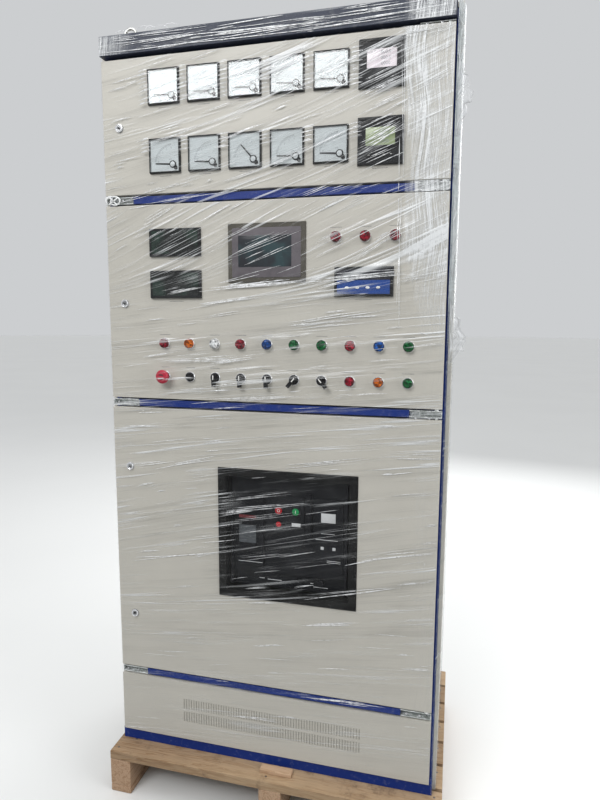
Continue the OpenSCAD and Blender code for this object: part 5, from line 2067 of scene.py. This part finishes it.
    def shell(self) -> None:
        """Lay the film round the cabinet's sides and rear."""
        side, door = node_box("left_side_panel"), node_box("upper_door")
        left, right = side.lo.x, node_box("right_side_panel").hi.x
        front, back = side.lo.y, node_box("rear_cover").hi.y
        low, high = FOOT + 4 * MM, node_box("roof_panel").hi.z - 6 * MM
        off, corner, half = 4.0 * MM, 14 * MM, 1.5 * MM
        path = np.array([
            (door.hi.x + 5 * MM, DOOR_FACE + 1 * MM), (right + half, front),
            (right + off, front + corner), (right + off, back - corner),
            (right - corner, back + off), (left + corner, back + off),
            (left - off, back - corner), (left - off, front + corner),
            (left - half, front), (door.lo.x - half, DOOR_FACE - half),
        ])
        lengths = np.concatenate([[0], np.cumsum(np.linalg.norm(np.diff(path, axis=0), axis=1))])

        def lay(along: Table, up: Table, height: Table) -> Table:
            """Lay the sheet round the cabinet's plan.

            Args:
                along, up: Places on the sheet in metres.
                height: Height over the surface in metres.

            Returns:
                Points in space.
            """
            x, y = (np.interp(along, lengths, places) for places in path.T)
            outward = np.stack([x - (left + right) / 2, y - (front + back) / 2])
            outward = outward / np.linalg.norm(outward, axis=0)
            proud = height - 1.2 * MM
            return np.stack([x + outward[0] * proud, y + outward[1] * proud, up], axis=-1)

        def gathered(along: Table, up: Table) -> Table:
            """Return the share of standing creases, most of them by the right front corner."""
            return np.where(along < GATHERED, np.clip((up - 1.42) / 0.2, 0.12, 1), 0.02)

        panel = FilmPanel("film_shell", Body.CABINET, (0.0, low), (float(lengths[-1]), high),
                          lambda x, z: 0.16 + 0.05 * np.sin(x * 4 + z * 3),
                          lambda along, up: np.where(along < GATHERED, 1.1, 0.4), gathered,
                          "left_side_panel", cell=12 * MM, lay=lay, finish=CORNER_FILM)
        panel.declare(panel.build())

    def tails(self) -> None:
        """Let loose flaps of film stand out beside the right edge."""
        edge, rear = node_box("upper_door").hi.x + 10 * MM, DOOR_FACE + 6 * MM
        jobs = ((1838, 1941, 2033, 36), (1500, 1590, 1710, 13), (1262, 1315, 1436, 46))
        for i, (low, tip, high, reach) in enumerate(jobs):
            foot, top = (FOOT + height * MM for height in (low, high))
            peak = (tip - low) / (high - low)

            def lay(along: Table, up: Table, height: Table) -> Table:
                """Pull the flap out to its tip, folded towards it.

                Args:
                    along, up: Places on the sheet in metres.
                    height: Height over the surface in metres.

                Returns:
                    Points in space.
                """
                share = (up - foot) / (top - foot)
                belly = np.interp(share, (0, peak * 0.7, peak, 1), (0.08, 0.72, 1, 0.06))
                ragged = 1 + 0.10 * np.sin(share * 29 + i) + 0.07 * np.sin(share * 61)
                ray = along / (reach * MM)
                fold = np.sin(ray * 17 + share * 9 + i) + 0.5 * np.sin(ray * 41 - share * 21)
                y = rear - height + along * 0.45 + 2.6 * MM * ray * fold
                drop = 0.12 * along * np.sin(share * 37 + i) * ray
                return np.stack([edge + along * belly * ragged, y, up + drop], axis=-1)

            panel = FilmPanel(f"film_tail_{i}", Body.CABINET, (0.0, foot), (reach * MM, top),
                              evenly(1.6), evenly(1.2), evenly(0.6), "right_side_panel",
                              cell=2.4 * MM, lay=lay, finish=LOOSE_FILM)
            panel.declare(panel.build())

    def strands(self) -> Thing:
        """Let a few narrow strands curl over the header's left end.

        Returns:
            Their piece.
        """
        piece = Piece("film_strands", Body.CABINET, CREASE)
        foot = Vector((0, DOOR_FACE, node_box("header").hi.z))
        for x, z, radius, start, end, y in (
                (-372, -4, 26, 20, 150, 10), (-322, 2, 20, -10, 140, 16),
                (-446, 0, 24, 15, 170, 22), (-286, -12, 30, 40, 140, 4),
                (-350, 8, 12, 0, 230, 8), (-400, 0, 17, 0, 185, 30)):
            line = [foot + mm(x, y, z) + point
                    for point in Shape.oval(radius * 1.3, radius, start, end, 24)]
            piece.add(Shape.ribbon(line, 1.7 * MM))
        return piece.made(180)

    def build(self) -> None:
        """Lay all the film."""
        for panel in self.panels():
            film = panel.build()
            creases = [self.creases(panel)]
            if panel.name == "film_header":
                creases.append(self.strands())
            panel.declare(film, creases)
        self.shell()
        self.tails()


@dataclass
class Studio:
    """Floor, light and camera.

    Attributes:
        eye: The camera's place.
        yaw: Turn of the view to the left of +Y, in degrees.
        pitch: Rise of the view, in degrees.
        roll: Turn of the frame, in degrees.
        lens: Focal length for a 36 mm sensor along the frame's longer side.
    """

    eye: tuple[float, float, float] = (0.507, -1.926, 1.516)
    yaw: float = 14.40
    pitch: float = -7.55
    roll: float = 0.27
    lens: float = 27.0

    def camera(self) -> None:
        """Set the camera at the photograph's place."""
        data = bpy.data.cameras.new("camera")
        data.sensor_fit = "AUTO"
        data.sensor_width = 36.0
        data.lens = self.lens
        data.clip_start, data.clip_end = 0.01, 200.0
        place = moved(self.eye)
        for angle, axis in ((self.yaw, "Z"), (90 + self.pitch, "X"), (self.roll, "Z")):
            place = place @ Matrix.Rotation(math.radians(angle), 4, axis)
        camera = shown("camera", data)
        camera.matrix_world = place
        bpy.context.scene.camera = camera

    def floor(self) -> None:
        """Lay a wide pale floor."""
        mesh = bmesh.new()
        bmesh.ops.create_circle(mesh, cap_ends=True, segments=96, radius=60.0)
        data = bpy.data.meshes.new("studio_floor")
        mesh.to_mesh(data)
        mesh.free()
        data.materials.append(FLOOR_PAINT.material())
        shown("studio_floor", data)

    def hang(self, name: str, kind: str, place: Sequence[float], aim: Sequence[float],
             **settings: float) -> None:
        """Hang a lamp.

        Args:
            name: Its name.
            kind: AREA for a soft panel of light, SUN for daylight from one direction.
            place: Where it hangs.
            aim: What it is turned to.
            settings: Its strength and size.
        """
        data = bpy.data.lights.new(name, kind)
        for key, value in settings.items():
            setattr(data, key, value)
        turn = (Vector(aim) - Vector(place)).to_track_quat("-Z", "Z")
        shown(name, data).matrix_world = moved(place) @ turn.to_matrix().to_4x4()

    def sky(self) -> None:
        """Light the room evenly, with a pale ground behind the object."""
        world = bpy.data.worlds.new("studio")
        bpy.context.scene.world = world
        graph = Graph.of(world)
        light, ground = (graph.node("ShaderNodeBackground", Color=colour, Strength=strength)
                         for colour, strength in ((screen(240, 243, 247), 0.32),
                                                  (screen(204, 206, 208), 1.0)))
        both = graph.node("ShaderNodeMixShader", graph.seen(), light.outputs[0], ground.outputs[0])
        graph.show(both, "ShaderNodeOutputWorld")

    def build(self) -> None:
        """Set the camera, floor and lights."""
        self.camera()
        self.floor()
        self.sky()
        middle = (0.0, 0.0, 1.3)
        for name, place, aim, wide, high, watts in (
                ("key", (-1.05, -3.6, 4.55), (-1.05, 0.0, 4.55), 3.2, 1.7, 84.0),
                ("glare", (-1.22, -3.6, 3.5), (-1.22, 0.0, 3.5), 2.1, 0.62, 44.0),
                ("fill", (3.4, -1.0, 2.4), middle, 2.6, 2.6, 66.0),
                ("rear", (0.8, 3.8, 3.0), middle, 3.0, 3.0, 110.0)):
            self.hang(name, "AREA", place, aim, shape="RECTANGLE", size=wide, size_y=high,
                      energy=watts)
        for name, place, spread, strength in (
                ("front daylight", (-0.26, -0.72, 0.64), 25.0, 0.35),
                ("top daylight", (0.0, -0.05, 1.0), 60.0, 1.15)):
            self.hang(name, "SUN", place, (0.0, 0.0, 0.0), angle=math.radians(spread),
                      energy=strength)
        bpy.context.scene.view_settings.view_transform = "Standard"


def main() -> None:
    """Build every sub-assembly in order."""
    logging.basicConfig(level=logging.INFO, format="%(name)s: %(message)s")
    Studio().build()
    dresser = NodeDresser()
    dressed = (Enclosure, Doors, PointerMeters, PowerMeters, MiddleInstruments, PanelDevices,
               BreakerFace, Pallet)
    for assembly in (*(kind(dresser) for kind in dressed), LabelMarks(random.Random(3)),
                     FilmWrap(random.Random(5))):
        LOG.info("building %s", type(assembly).__name__)
        assembly.build()


if __name__ == "__main__":
    main()
